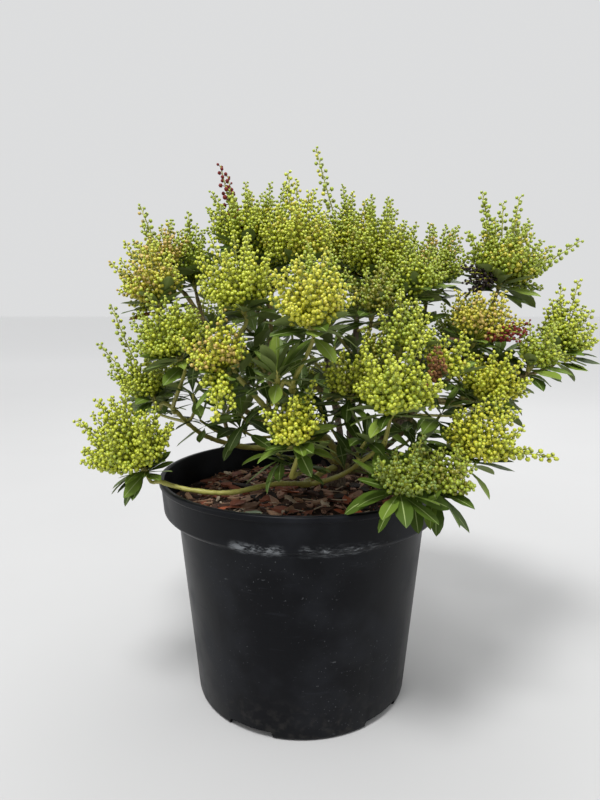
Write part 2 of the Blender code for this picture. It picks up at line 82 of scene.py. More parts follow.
class Finish:
    """A material: plain values sit on the shader itself, and patterns are wired to it."""

    def __init__(self, name, **plain):
        self.material = bpy.data.materials.new(name)
        self.material.use_nodes = True
        self.tree = self.material.node_tree
        self.set(**plain)

    def set(self, **values):
        """Give sockets of the shader plain values or wires."""
        shader = self.tree.nodes["Principled BSDF"]
        for name, value in values.items():
            self.feed(shader.inputs[name.replace("_", " ")], value)

    def feed(self, socket, value):
        """Wire a socket, or set it to a plain number, place or colour."""
        if isinstance(value, Wire):
            self.tree.links.new(value.socket, socket)
        else:
            socket.default_value = (*value, 1.0) if socket.type == "RGBA" else value

    def node(self, kind, settings=(), sockets=(), output=0):
        """One node: its settings first, then the values or wires of its sockets."""
        node = self.tree.nodes.new("ShaderNode" + kind)
        for setting, value in dict(settings).items():
            setattr(node, setting, value)
        for socket, value in dict(sockets).items():
            self.feed(node.inputs[socket], value)
        return Wire(self, node.outputs[output])

    def here(self):
        """A point on the piece, in its Object coordinates."""
        return self.node("TexCoord", output="Object")

    def place(self, axis):
        """The X, Y or Z of a point on the piece, in metres."""
        return self.node("SeparateXYZ", (), {0: self.here()}, axis)

    def noise(self, scale, detail=3.0, stretch=(1.0, 1.0, 1.0), roughness=0.5):
        """A cloudy pattern from 0 to 1, with its grain stretched along the axes."""
        there = self.node("Mapping", (), {"Vector": self.here(), "Scale": stretch})
        return self.node("TexNoise", (), {"Vector": there, "Scale": scale, "Detail": detail,
                                          "Roughness": roughness}, "Fac")

    def fade(self, value, low, high):
        """0 where the value is at low or beyond, 1 at high, and a soft change between."""
        settings = {"interpolation_type": "SMOOTHSTEP", "clamp": True}
        return self.node("MapRange", settings, {"Value": value, "From Min": low, "From Max": high})

    def mix(self, share, first, second):
        """A colour between two others."""
        return self.node("Mix", {"data_type": "RGBA"}, {0: share, 6: first, 7: second}, 2)

    def relief(self, height, depth, strength=1.0):
        """Raise the surface by a pattern; the depth is in metres."""
        bump = {"Height": height, "Distance": depth, "Strength": strength}
        self.set(Normal=self.node("Bump", (), bump))


def rounded(corners, steps=4):
    """A profile from corners given as radius, height and softening; a curve cuts each soft corner."""
    points = [Vector(corners[0][:2])]
    for before, (*place, soft), after in zip(corners, corners[1:], corners[2:]):
        place = Vector(place)
        if not soft:
            points.append(place)
            continue
        start, end = (place + (Vector(end[:2]) - place).normalized() * soft for end in (before, after))
        for share in (k / steps for k in range(steps + 1)):
            points.append(start.lerp(place, share).lerp(place.lerp(end, share), share))
    return points + [Vector(corners[-1][:2])]


def turned(name, profile, facets):
    """A round piece drawn ring by ring along its profile and closed at both ends."""
    last = profile[0]
    bpy.ops.mesh.primitive_circle_add(vertices=facets, radius=last[0], location=(0.0, 0.0, last[1]))
    piece = bpy.context.object
    piece.name = name
    bpy.ops.object.transform_apply(location=True)
    bpy.ops.object.mode_set(mode="EDIT")
    bpy.ops.mesh.select_mode(type="VERT")
    bpy.ops.mesh.select_all(action="SELECT")
    for ring in profile[1:]:
        step = {"value": (0.0, 0.0, ring[1] - last[1])}
        bpy.ops.mesh.extrude_region_move(TRANSFORM_OT_translate=step)
        grow = ring[0] / last[0]
        bpy.ops.transform.resize(value=(grow, grow, 1.0), center_override=(0.0, 0.0, ring[1]))
        last = ring
    bpy.ops.mesh.edge_face_add()
    bpy.ops.mesh.select_all(action="DESELECT")
    bpy.ops.object.mode_set(mode="OBJECT")
    for k in range(facets):
        piece.data.vertices[k].select = True
    bpy.ops.object.mode_set(mode="EDIT")
    bpy.ops.mesh.edge_face_add()
    bpy.ops.mesh.select_all(action="SELECT")
    bpy.ops.mesh.normals_make_consistent(inside=False)
    bpy.ops.object.mode_set(mode="OBJECT")
    bpy.ops.object.shade_smooth_by_angle(angle=radians(40))
    return piece


def apply_modifiers(piece):
    """Make what a piece's modifiers do part of its mesh."""
    bpy.ops.object.select_all(action="DESELECT")
    bpy.context.view_layer.objects.active = piece
    piece.select_set(True)
    for modifier in list(piece.modifiers):
        bpy.ops.object.modifier_apply(modifier=modifier.name)


def settle(piece, slot, *nodes):
    """Fix a piece to the plant's one body in place of the model's nodes, which are hidden; the slot is not
    used.
    """
    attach(piece, "root")
    if nodes:
        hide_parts(*nodes)


def make_pot():
    """The moulded pot with its notches cut through the foot."""
    outside = [
        (0.030, 0.0, 0), (0.060, 0.0, 0), (BASE_RADIUS, 0.0, 0.0035),
        (WALL_TOP_RADIUS, WALL_TOP - 0.001, 0.0016), (BAND_FOOT_RADIUS - 0.0022, BAND_FOOT - 0.0012, 0.0016),
        (BAND_FOOT_RADIUS, BAND_FOOT + 0.0016, 0.0010), (BAND_TOP_RADIUS, POT_HEIGHT - LIP_DEPTH, 0.0008),
        (LIP_RADIUS, POT_HEIGHT - LIP_DEPTH + 0.0006, 0.0010), (LIP_RADIUS, POT_HEIGHT, 0.0018),
        (BAND_TOP_RADIUS - WALL - 0.0008, POT_HEIGHT, 0.0014)]
    inside = [
        (BAND_FOOT_RADIUS - WALL - 0.001, BAND_FOOT, 0.002), (WALL_TOP_RADIUS - WALL, WALL_TOP + WALL, 0.002),
        (BASE_RADIUS - WALL, 2.0 * WALL, 0.002), (0.030, WALL, 0)]
    pot = turned("pot_moulded", rounded(outside + inside), POT_FACETS)
    cutters = []
    for turn in (NOTCH_TURN + TURN * k / NOTCHES for k in range(NOTCHES)):
        reach = BASE_RADIUS - NOTCH_REACH / 2.0 + 0.003
        place = (reach * cos(turn), reach * sin(turn), 0.0)
        bpy.ops.mesh.primitive_cube_add(size=1.0, location=place, rotation=(0.0, 0.0, turn))
        cutter = bpy.context.object
        cutter.scale = (NOTCH_REACH + 0.006, NOTCH_WIDTH, 2.0 * NOTCH_HEIGHT)
        bpy.ops.object.transform_apply(location=True, rotation=True, scale=True)
        soften = cutter.modifiers.new("soften", "BEVEL")
        soften.width = 0.0025
        soften.segments = 3
        apply_modifiers(cutter)
        cutters.append(cutter)
    for cutter in cutters:
        cutter.select_set(True)
    bpy.context.view_layer.objects.active = cutters[0]
    bpy.ops.object.join()
    pot.modifiers.new("notches", "BOOLEAN").object = cutters[0]
    apply_modifiers(pot)
    bpy.data.objects.remove(cutters[0])
    bpy.ops.object.shade_smooth_by_angle(angle=radians(40))
    pot.data.materials.append(pot_plastic().material)
    settle(pot, "pot", "pot")


def pot_plastic():
    """Black plastic, satin, dusty towards the foot, scratched, and scuffed chalky under the band."""
    finish = Finish("black_pot_plastic", Specular_IOR_Level=0.11)
    fade, noise = finish.fade, finish.noise
    x, y, z = (finish.place(axis) for axis in "XYZ")
    front = fade(x, -0.058, -0.050) * fade(x, -0.010, -0.020) + fade(x, -0.004, 0.004) * fade(x, 0.066, 0.034)
    front = front * fade(y, -0.06, -0.10)
    left = fade(x, -0.095, -0.108) * fade(y, 0.03, -0.02)
    ledge = (front + left * 0.5) * (fade(z, 0.1655, 0.1700) * fade(z, 0.1835, 0.1745))
    flecks = noise(300.0, 5.0, (0.45, 0.45, 1.5), 0.7)
    chalk = ledge * fade(flecks + noise(55.0) * 0.6, 0.78, 0.92) * 0.62
    rubbed = ledge * fade(flecks, 0.40, 0.62) * 0.20
    streaks = fade(noise(60.0, 4.0, (1.0, 1.0, 0.10)), 0.62, 0.80) * 0.10
    level_scratches = fade(noise(34.0, 5.0, (1.0, 1.0, 9.0)), 0.64, 0.74) * 0.24
    smudges = fade(noise(24.0, 4.0), 0.42, 0.72) * 0.42
    dusty = fade(noise(13.0, 2.0), 0.44, 0.60)
    specks = fade(noise(520.0, 2.0), 0.69, 0.74) * dusty
    hairlines = fade(noise(90.0, 4.0, (1.0, 1.0, 0.25), 0.75), 0.70, 0.73) * dusty
    splash = fade(z, 0.050, 0.0) * fade(noise(150.0, 5.0), 0.46, 0.70) * 0.32
    scrapes = fade(noise(120.0, 4.0, (0.5, 0.5, 1.3), 0.7), 0.68, 0.73) * dusty
    worn = (chalk + rubbed + specks * 0.26 + (hairlines + scrapes) * 0.20).maths("MINIMUM", 1.0)
    dull = (streaks + level_scratches + smudges).maths("MINIMUM", 1.0)
    colour = finish.mix(dull, (0.0030, 0.0034, 0.0048), (0.019, 0.021, 0.026))
    colour = finish.mix(splash, colour, (0.050, 0.047, 0.042))
    finish.set(Base_Color=finish.mix(worn, colour, (0.25, 0.265, 0.28)),
               Roughness=0.36 + dull * 0.30 + worn * 0.35 + splash * 0.3)
    finish.relief(noise(300.0) * 0.4 + flecks * worn, 0.0002, 0.5)
    return finish


make_pot()

# The compost
# Dark, crumbly peat and bark that fills the pot to two fingers under the lip, domed a little in the
# middle. It is one lumpy surface, and the mulch below lies on it.
SOIL_EDGE, SOIL_CROWN = 0.1765, 0.0050
SOIL_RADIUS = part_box("compost")[1][0]
SOIL_FACETS, SOIL_RINGS = 120, 34


def soil_height(x, y):
    """Height of the compost's surface at a place."""
    return SOIL_EDGE + SOIL_CROWN * (1.0 - (x * x + y * y) / SOIL_RADIUS ** 2)


def lumpy(piece, size, height, name="lumps"):
    """Raise and sink a surface along its normals by a cloudy pattern of that size."""
    texture = bpy.data.textures.new(name, "CLOUDS")
    texture.noise_scale = size
    texture.noise_depth = 2
    lumps = piece.modifiers.new(name, "DISPLACE")
    lumps.texture = texture
    lumps.texture_coords = "LOCAL"
    lumps.strength = height
    lumps.mid_level = 0.5


def make_soil():
    """A plug of compost with a fine mesh on top, raised in lumps."""
    foot = Vector((BASE_RADIUS - WALL - 0.001, 2.0 * WALL + 0.001))
    profile = [Vector((0.020, foot.y)), foot, Vector((WALL_TOP_RADIUS - WALL - 0.001, WALL_TOP)),
               Vector((SOIL_RADIUS, BAND_FOOT))]
    for radius in (SOIL_RADIUS * (1.0 - k / SOIL_RINGS) for k in range(SOIL_RINGS)):
        profile.append(Vector((radius, soil_height(radius, 0.0))))
    soil = turned("compost_surface", profile, SOIL_FACETS)
    only_top = soil.vertex_groups.new(name="top")
    only_top.add([v.index for v in soil.data.vertices if v.co.z > SOIL_EDGE + 0.0003], 1.0, "REPLACE")
    lumpy(soil, 0.006, 0.0045)
    soil.modifiers["lumps"].vertex_group = "top"
    apply_modifiers(soil)
    soil.data.materials.append(peat().material)
    settle(soil, "compost", "compost")


def peat():
    """Near-black moist peat with brown fibres."""
    finish = Finish("peat", Specular_IOR_Level=0.25)
    grain = finish.noise(260.0, 5.0, roughness=0.65)
    fibre = finish.fade(finish.noise(190.0, 3.0, (1.0, 0.25, 1.0)), 0.58, 0.70)
    colour = finish.mix(grain, (0.012, 0.008, 0.006), (0.060, 0.034, 0.022))
    finish.set(Base_Color=finish.mix(fibre * 0.6, colour, (0.15, 0.085, 0.05)), Roughness=0.78 + grain * 0.2)
    finish.relief(grain, 0.0015)
    return finish


make_soil()

# The mulch
# Flakes of conifer bark, chips, crumbs and slivers of wood that lie on the compost, loose and
# overlapping. They are cut from a few modelled shapes and joined, with a plain colour for each flake.
MULCH_RADIUS = 0.1205
FLAKES, FLAKE_SHAPES, CRUMBS, SLIVERS = 620, 6, 900, 170
FLAKE_LENGTH = (0.008, 0.024)
FLAKE_COLOURS = {
    "bark_black": (0.022, 0.013, 0.010), "bark_dark": (0.060, 0.028, 0.019),
    "bark_red": (0.220, 0.070, 0.038), "bark_brown": (0.140, 0.074, 0.046),
    "bark_tan": (0.330, 0.195, 0.120), "bark_pink": (0.430, 0.240, 0.170),
    "wood_pale": (0.520, 0.415, 0.305)}
FLAKE_SHARES = (24, 22, 19, 14, 12, 8, 4)


class Batch:
    """Many small things gathered into one mesh from arrays."""

    def __init__(self):
        self.points, self.triangles, self.slots = [], [], []
        self.count = 0

    def add(self, points, triangles, slots):
        """Copies given as an array of (copies, points, 3); slots has one finish for each copy or face."""
        copies, size, _ = points.shape
        if copies == 0:
            return
        starts = self.count + np.arange(copies)[:, None, None] * size
        slots = np.asarray(slots)
        slots = slots[:, None] if slots.ndim == 1 else slots
        self.points.append(points.reshape(-1, 3))
        self.triangles.append((triangles[None] + starts).reshape(-1, 3))
        self.slots.append(np.broadcast_to(slots, (copies, len(triangles))).reshape(-1))
        self.count += copies * size

    def make(self, name, finishes, slot, nodes=(), sharp=None):
        """The joined mesh as a smooth piece, with edges sharper than the angle left crisp."""
        points = np.concatenate(self.points).astype(np.float32)
        triangles = np.concatenate(self.triangles).astype(np.int32)
        mesh = bpy.data.meshes.new(name)
        mesh.vertices.add(len(points))
        mesh.vertices.foreach_set("co", points.ravel())
        mesh.loops.add(triangles.size)
        mesh.loops.foreach_set("vertex_index", triangles.ravel())
        mesh.polygons.add(len(triangles))
        mesh.polygons.foreach_set("loop_start", np.arange(0, triangles.size, 3, dtype=np.int32))
        mesh.polygons.foreach_set("material_index", np.concatenate(self.slots).astype(np.int32))
        mesh.update(calc_edges=True)
        mesh.shade_smooth()
        if sharp:
            mesh.set_sharp_from_angle(angle=radians(sharp))
        for finish in finishes:
            mesh.materials.append(finish.material)
        piece = bpy.data.objects.new(name, mesh)
        bpy.context.scene.collection.objects.link(piece)
        settle(piece, slot, *nodes)


def taken(piece):
    """The points and triangles of a modelled shape, which is then removed."""
    mesh = piece.data
    mesh.calc_loop_triangles()
    points = np.array([tuple(vertex.co) for vertex in mesh.vertices])
    triangles = np.array([tuple(triangle.vertices) for triangle in mesh.loop_triangles])
    bpy.data.objects.remove(piece)
    return points, triangles


def unit(vectors):
    """The vectors, each scaled to a length of one."""
    return vectors / np.maximum(np.linalg.norm(vectors, axis=-1, keepdims=True), 1e-12)


def dealt(pattern, places, axes, sizes):
    """A pattern's points at many places, turned to the three axes and scaled by (copies, 3) sizes."""
    scaled = pattern[None] * sizes[:, None, :]
    return np.einsum("cij,cpj->cpi", np.stack(axes, axis=2), scaled) + places[:, None, :]


def flake_shape(seed):
    """A chip about one across and an eighth thick, with a broken outline and a shallow curl."""
    dice = random.Random(seed)
    bpy.ops.mesh.primitive_cylinder_add(vertices=7, radius=0.5, depth=0.13, end_fill_type="TRIFAN")
    chip = bpy.context.object
    curl = dice.uniform(-0.10, 0.16)
    ragged = [dice.uniform(0.62, 1.12) for _ in range(7)]
    for vertex in chip.data.vertices:
        spot = vertex.co
        if spot.xy.length > 0.1:
            k = round(atan2(spot.y, spot.x) / (TURN / 7)) % 7
            spot.x *= ragged[k] * (1.0 if spot.z > 0.0 else 0.92)
            spot.y *= ragged[k] * dice.uniform(0.8, 1.0)
        spot.z += curl * spot.x ** 2 + dice.uniform(-0.03, 0.03)
    return taken(chip)


def flat_axes(dice, count, tilt):
    """Axes that lie nearly flat, each set turned and tilted by chance."""
    turn = dice.uniform(0.0, TURN, count)
    lean = [dice.normal(0.0, tilt, count) for _ in range(2)]
    up = unit(np.stack([*lean, np.ones(count)], axis=1))
    along = np.stack([np.cos(turn), np.sin(turn), np.zeros(count)], axis=1)
    along = unit(along - up * np.sum(along * up, axis=1, keepdims=True))
    return along, np.cross(up, along), up


def strewn(dice, count, radius, lift):
    """Places scattered over the compost, lying on it or up to the lift above it."""
    reach = radius * np.sqrt(dice.uniform(0.0, 1.0, count))
    turn = dice.uniform(0.0, TURN, count)
    x, y = reach * np.cos(turn), reach * np.sin(turn)
    return np.stack([x, y, soil_height(x, y) + dice.uniform(0.0, lift, count)], axis=1)


def bark_finish(name, colour):
    """A plain bark colour on a grainy, cracked surface."""
    finish = Finish(name, Base_Color=colour, Roughness=0.75, Specular_IOR_Level=0.3)
    finish.relief(finish.noise(500.0, 4.0, (1.0, 0.3, 1.0)), 0.0006)
    return finish


def make_mulch():
    """Flakes, crumbs and slivers over the compost."""
    dice = np.random.default_rng(41)
    batch = Batch()
    shares = np.array(FLAKE_SHARES) / sum(FLAKE_SHARES)

    def scatter(shape, sizes, radius, lift, tilt, tints, shares=None):
        """Deal out copies of a shape, given as its points and triangles, in the finishes of tints."""
        places = strewn(dice, len(sizes), radius, lift)
        points = dealt(shape[0], places, flat_axes(dice, len(sizes), tilt), sizes)
        batch.add(points, shape[1], dice.choice(tints, len(sizes), p=shares))

    count = FLAKES // FLAKE_SHAPES
    for shape in map(flake_shape, range(FLAKE_SHAPES)):
        length = dice.uniform(*FLAKE_LENGTH, count) * dice.choice([1.0, 0.7], count)
        sizes = np.stack([length, length * dice.uniform(0.35, 0.75, count),
                          length * dice.uniform(0.5, 1.2, count)], axis=1)
        scatter(shape, sizes, MULCH_RADIUS - 0.006, 0.0035, 0.22, 7, shares)
    bpy.ops.mesh.primitive_ico_sphere_add(subdivisions=1, radius=0.5)
    pattern, triangles = taken(bpy.context.object)
    pattern = pattern * (1.0 + 0.25 * np.sin(7.0 * pattern[:, :1] + 5.0 * pattern[:, 1:2]))
    sizes = dice.uniform(0.0012, 0.0042, (CRUMBS, 1)) * dice.uniform(0.6, 1.2, (CRUMBS, 3))
    scatter((pattern, triangles), sizes, MULCH_RADIUS, 0.0025, 0.5, 7, np.roll(shares, 1))
    bpy.ops.mesh.primitive_cylinder_add(vertices=5, radius=0.5, depth=1.0, rotation=(0.0, pi / 2.0, 0.0))
    bpy.ops.object.transform_apply(rotation=True)
    length = dice.uniform(0.010, 0.034, SLIVERS)
    thick = dice.uniform(0.0007, 0.0016, SLIVERS)
    sizes = np.stack([length, thick, thick * 0.8], axis=1)
    scatter(taken(bpy.context.object), sizes, MULCH_RADIUS - 0.016, 0.0040, 0.16, [1, 3, 4, 6])
    finishes = [bark_finish(name, colour) for name, colour in FLAKE_COLOURS.items()]
    batch.make("bark_mulch", finishes, "compost", sharp=38)


make_mulch()

# The trunk and the boughs
# A short leaning trunk with a flare at the soil, and the boughs that fork from it and from each
# other. The rule is the model's own: each limb leaves its parent's side and runs to its mass.
UP = Vector((0.0, 0.0, 1.0))
MILLIMETRE = 0.001
GAP = 0.0004
GOLDEN_ANGLE = pi * (3.0 - sqrt(5.0))
FIRST_STRETCH = 0.006
TRUNK_FOOT, TRUNK_TOP = (34, 24), (45, 20, 216)
TRUNK_FLARE_RADIUS, TRUNK_FOOT_RADIUS, TRUNK_TOP_RADIUS, FLARE_HEIGHT = 0.0135, 0.0085, 0.0066, 0.016
# Parent, share of its length, foot and tip radius in mm, the route's places in mm with the tip last
BOUGHS = {
    "top": ("trunk", 1.0, 5.8, 2.4, [(48, 22, 255), (52, 32, 320), (55, 40, 374)]),
    "upper_left": ("trunk", 0.62, 4.6, 2.3, [(-5, 38, 226), (-62, 38, 262), (-90, 18, 338)]),
    "right": ("trunk", 0.86, 4.6, 2.3, [(92, 14, 246), (142, 8, 296), (168, 4, 345)]),
    "front_right": ("trunk", 0.72, 4.0, 2.2, [(78, -10, 216), (104, -34, 226), (122, -58, 238)]),
    "front": ("trunk", 0.80, 4.2, 2.2, [(26, -20, 236), (6, -56, 264), (-6, -86, 292)]),
    "back": ("trunk", 0.90, 4.6, 2.3, [(38, 62, 240), (30, 104, 284), (26, 118, 330)]),
    "low_front": ("trunk", 0.52, 3.2, 2.0, [(0, -12, 194), (34, -44, 212), (60, -100, 250)]),
    "low_left": ("low_front", 0.34, 2.8, 2.0,
                 [(-24, -50, 206), (-60, -68, 204), (-92, -70, 207), (-113, -65, 211)]),
    "lower_left": ("upper_left", 0.22, 3.6, 2.1, [(-58, 48, 216), (-96, 24, 234), (-115, -3, 261)]),
    "top_left": ("upper_left", 0.42, 3.4, 2.1, [(-30, 28, 300), (-28, 20, 372)]),
    "front_left": ("front", 0.36, 3.2, 2.1, [(-24, -44, 266), (-54, -58, 302)]),
    "foot_front": ("front", 0.58, 2.8, 2.0, [(2, -70, 226), (-5, -84, 224)]),
    "middle": ("top", 0.34, 3.2, 2.1, [(52, -14, 282), (50, -36, 298)]),
    "right_front_upper": ("front_right", 0.34, 3.0, 2.1, [(92, -40, 256), (88, -60, 292)]),
    "low_right": ("front_right", 0.62, 2.8, 2.0, [(96, -78, 215), (84, -106, 212)]),
    "upper_right": ("right", 0.34, 3.2, 2.1, [(112, 30, 300), (120, 38, 362)]),
    "far_right": ("right", 0.56, 3.2, 2.1, [(160, -12, 274), (184, -22, 290)]),
    "back_right": ("right", 0.24, 3.2, 2.1, [(110, 60, 246), (136, 84, 286)]),
    "back_low": ("back", 0.42, 3.0, 2.1, [(64, 118, 246), (70, 136, 256)]),
    "back_left": ("back", 0.55, 3.2, 2.1, [(-14, 112, 290), (-40, 116, 316)]),
    "back_low_left": ("lower_left", 0.48, 2.8, 2.0, [(-84, 96, 240), (-84, 112, 262)]),
}
GREEN_BOUGHS = ("low_front", "low_left", "foot_front", "front", "front_left", "lower_left")
LIMB_STEP, LIMB_SLIM = 0.0012, 0.88
SCAR_STEP, SCAR_REACH = 0.0085, 0.0011
OLD_SCARS, YOUNG_SCARS = 0.045, 0.13
# Depth that a limb is rooted in what carries it, and its flare there: from a side, and from an end
SIDE_DEPTH, SIDE_FLARE, END_DEPTH, END_FLARE, TRUNK_FLARE = 0.0022, 1.25, 0.004, 1.05, 1.08


def at(x, y, z):
    """A place in the crown, given in millimetres."""
    return Vector((x, y, z)) * MILLIMETRE


def smooth_path(points, steps):
    """Points on a smooth curve that runs through the given ones."""
    ends = [2.0 * points[0] - points[1]] + points + [2.0 * points[-1] - points[-2]]
    path = []
    for p0, p1, p2, p3 in zip(ends, ends[1:], ends[2:], ends[3:]):
        for t in (k / steps for k in range(steps)):
            path.append(0.5 * (2.0 * p1 + (p2 - p0) * t + (2.0 * p0 - 5.0 * p1 + 4.0 * p2 - p3) * t ** 2
                               + (3.0 * p1 - p0 - 3.0 * p2 + p3) * t ** 3))
    return path + [points[-1]]


class Limb:
    """One tapering limb: its centre line and its radius along that."""

    def __init__(self, points, foot_radius, tip_radius, sides=5):
        self.path = [points[0]] + smooth_path(points[1:], 2)
        count = len(self.path) - 1
        self.radii = [foot_radius + (tip_radius - foot_radius) * k / count for k in range(count + 1)]
        self.sides = sides

    def side(self, share, towards):
        """A point just clear of the limb's side at a share of its length, and the way out of it there."""
        path, radii = self.path, self.radii
        lengths = [(after - before).length for before, after in zip(path, path[1:])]
        left = share * sum(lengths)
        k = 0
        while left > lengths[k] and k < len(lengths) - 1:
            left -= lengths[k]
            k += 1
        centre = path[k].lerp(path[k + 1], left / lengths[k])
        radius = radii[k] + (radii[k + 1] - radii[k]) * left / lengths[k]
        along = (path[k + 1] - path[k]).normalized()
        away = towards - centre
        away = (away - along * away.dot(along)).normalized()
        side, other = self.across(k)
        facet = TURN / self.sides
        turn = atan2(away.dot(other), away.dot(side))
        off_ridge = turn - facet * round(turn / facet)
        return centre + away * (radius * cos(off_ridge) + GAP), away

    def across(self, number):
        """Two directions across the limb at a point of its line, carried along it without twist."""
        for k in range(number + 1):
            tangent = (self.path[min(k + 1, len(self.path) - 1)] - self.path[max(k - 1, 0)]).normalized()
            if k == 0:
                side = tangent.orthogonal().normalized()
            side = (side - tangent * side.dot(tangent)).normalized()
        return side, tangent.cross(side)

    def tip(self):
        """The limb's end, and the direction it points in there."""
        return self.path[-1], (self.path[-1] - self.path[-2]).normalized()


def make_limbs():
    """The centre lines of the trunk and every bough."""
    foot = at(*TRUNK_FOOT, 0)
    inner_side = 1.0 - TRUNK_FLARE_RADIUS / foot.length
    foot.z = soil_height(foot.x * inner_side, foot.y * inner_side) + GAP
    flare_top = foot + UP * FLARE_HEIGHT
    trunk = Limb([foot, flare_top, flare_top.lerp(at(*TRUNK_TOP), 0.5), at(*TRUNK_TOP)],
                 TRUNK_FOOT_RADIUS, TRUNK_TOP_RADIUS, 8)
    trunk.path.insert(1, foot.lerp(flare_top, 0.35))
    trunk.radii = [TRUNK_FLARE_RADIUS, (TRUNK_FLARE_RADIUS + TRUNK_FOOT_RADIUS) / 2.0] + trunk.radii[1:]
    limbs = {"trunk": trunk}
    for name, (parent, share, foot_radius, tip_radius, route) in BOUGHS.items():
        route = [at(*place) for place in route]
        if share == 1.0:
            tip, way = limbs[parent].tip()
            start = tip + way * GAP
        else:
            start, way = limbs[parent].side(share, route[0])
        points = [start, start + way * FIRST_STRETCH] + route
        limbs[name] = Limb(points, foot_radius * MILLIMETRE, tip_radius * MILLIMETRE)
    return limbs


def fine_line(path, radii, step):
    """The path and its radii drawn again with a point every step, and how far along each point is."""
    knots = [0.0]
    for before, after in zip(path, path[1:]):
        knots.append(knots[-1] + (after - before).length)
    places = np.array([tuple(p) for p in smooth_path(list(path), 12)])
    walked = np.concatenate([[0.0], np.cumsum(np.linalg.norm(np.diff(places, axis=0), axis=1))])
    marks = np.linspace(0.0, walked[-1], max(3, int(walked[-1] / step)))
    line = np.stack([np.interp(marks, walked, places[:, axis]) for axis in range(3)], axis=1)
    return line, np.interp(marks / walked[-1] * knots[-1], knots, radii), marks


def make_limb(name, path, radii, seed, scars):
    """A limb bent along its line, with rings of old leaf scars and the relief of its bark."""
    line, thick, marks = fine_line(path, radii, LIMB_STEP)
    dice = random.Random(seed)
    beat = SCAR_STEP * dice.uniform(0.85, 1.15)
    ring = np.exp(-((marks % beat - beat / 2.0) / SCAR_REACH) ** 2) * scars
    wander = [dice.uniform(-1.0, 1.0) for _ in range(12)]
    thick = thick * (1.0 + ring + np.interp(marks, np.linspace(0.0, marks[-1], 12), wander) * 0.05)
    curve = bpy.data.curves.new(name, "CURVE")
    curve.dimensions = "3D"
    curve.bevel_depth = 1.0
    curve.bevel_resolution = 5
    curve.use_fill_caps = True
    spline = curve.splines.new("POLY")
    spline.points.add(len(line) - 1)
    for point, place, radius in zip(spline.points, line, thick):
        point.co = (*place, 1.0)
        point.radius = radius
    limb = bpy.data.objects.new(name, curve)
    bpy.context.scene.collection.objects.link(limb)
    bpy.ops.object.select_all(action="DESELECT")
    bpy.context.view_layer.objects.active = limb
    limb.select_set(True)
    bpy.ops.object.convert(target="MESH")
    limb = bpy.context.object
    bpy.ops.object.mode_set(mode="EDIT")
    bpy.ops.mesh.select_all(action="SELECT")
    bpy.ops.mesh.remove_doubles(threshold=0.000002)
    bpy.ops.mesh.normals_make_consistent(inside=False)
    bpy.ops.object.mode_set(mode="OBJECT")
    lumpy(limb, 0.0028, 0.0009 if scars == OLD_SCARS else 0.0006)
    lumpy(limb, 0.0080, 0.0012, "swellings")
    apply_modifiers(limb)
    limb.data.shade_smooth()
    return limb


def woody(name, dark, light, lichen, grain):
    """Bark: long grain in two browns with greyer flakes, ridged along the limb."""
    finish = Finish(name, Specular_IOR_Level=0.3)
    fade, noise = finish.fade, finish.noise
    fibres = noise(grain, 5.0, (1.0, 1.0, 0.22), 0.62)
    cracks = fade(noise(grain * 1.7, 3.0, (1.0, 1.0, 0.3)), 0.60, 0.44)
    flakes = fade(noise(grain * 0.4, 2.0), 0.50, 0.68)
    colour = finish.mix(fade(fibres, 0.3, 0.7), dark, light)
    finish.set(Base_Color=finish.mix(flakes * 0.5, colour, lichen), Roughness=0.72 + fibres * 0.2)
    finish.relief(fibres + cracks * 0.7, 0.0007)
    return finish


def shoot_skin():
    """The smooth yellow-green skin of a young shoot, flecked brown at its scars."""
    finish = Finish("shoot_skin", Specular_IOR_Level=0.4)
    flecks = finish.fade(finish.noise(420.0, 2.0), 0.66, 0.74)
    colour = finish.mix(finish.noise(70.0), (0.24, 0.23, 0.045), (0.45, 0.42, 0.105))
    finish.set(Base_Color=finish.mix(flecks * 0.75, colour, (0.10, 0.06, 0.03)),
               Roughness=0.42 + flecks * 0.3)
    finish.relief(finish.noise(800.0, 3.0, (1.0, 1.0, 0.3)), 0.0003)
    return finish


old_bark = woody("old_bark", (0.045, 0.030, 0.022), (0.20, 0.145, 0.095), (0.26, 0.22, 0.17), 620.0)
young_bark = woody("young_bark", (0.120, 0.085, 0.035), (0.300, 0.240, 0.095), (0.24, 0.25, 0.09), 760.0)
shoot_green = shoot_skin()
limbs = make_limbs()
for number, (name, limb) in enumerate(limbs.items()):
    path, radii = list(limb.path), list(limb.radii)
    node = name
    if name == "trunk":
        path[0] = path[0] - UP * END_DEPTH
        radii[0] *= TRUNK_FLARE
    else:
        node = name + "_bough"
        forked = BOUGHS[name][1] < 1.0
        path[0] = path[0] + (path[0] - path[1]).normalized() * (SIDE_DEPTH if forked else END_DEPTH)
        radii[0] *= SIDE_FLARE if forked else END_FLARE
    radii = [radius * LIMB_SLIM for radius in radii]
    young = name in GREEN_BOUGHS
    piece = make_limb(node + "_bark", path, radii, number, YOUNG_SCARS if young else OLD_SCARS)
    finish = old_bark if name in ("trunk", "top", "back", "right") else young_bark
    piece.data.materials.append((shoot_green if young else finish).material)
    settle(piece, "bark", node)

# The twigs
# Each mass grows from one stem at its bough's tip. The stem forks to the panicles, and each fork ends
# in a small heart of bud scales, from which a whorl of leaves and the racemes radiate.
CROWN_HEART = (30, 0, 260)
OUTWARD_LEAN = 0.42
HEART_LENGTH = 0.012
HEART_RADII = (0.0014, 0.0023, 0.0027, 0.0029, 0.0026, 0.0018, 0.0006)
TWIG_RADIUS, TWIG_TIP_RADIUS = 0.0020, 0.0014
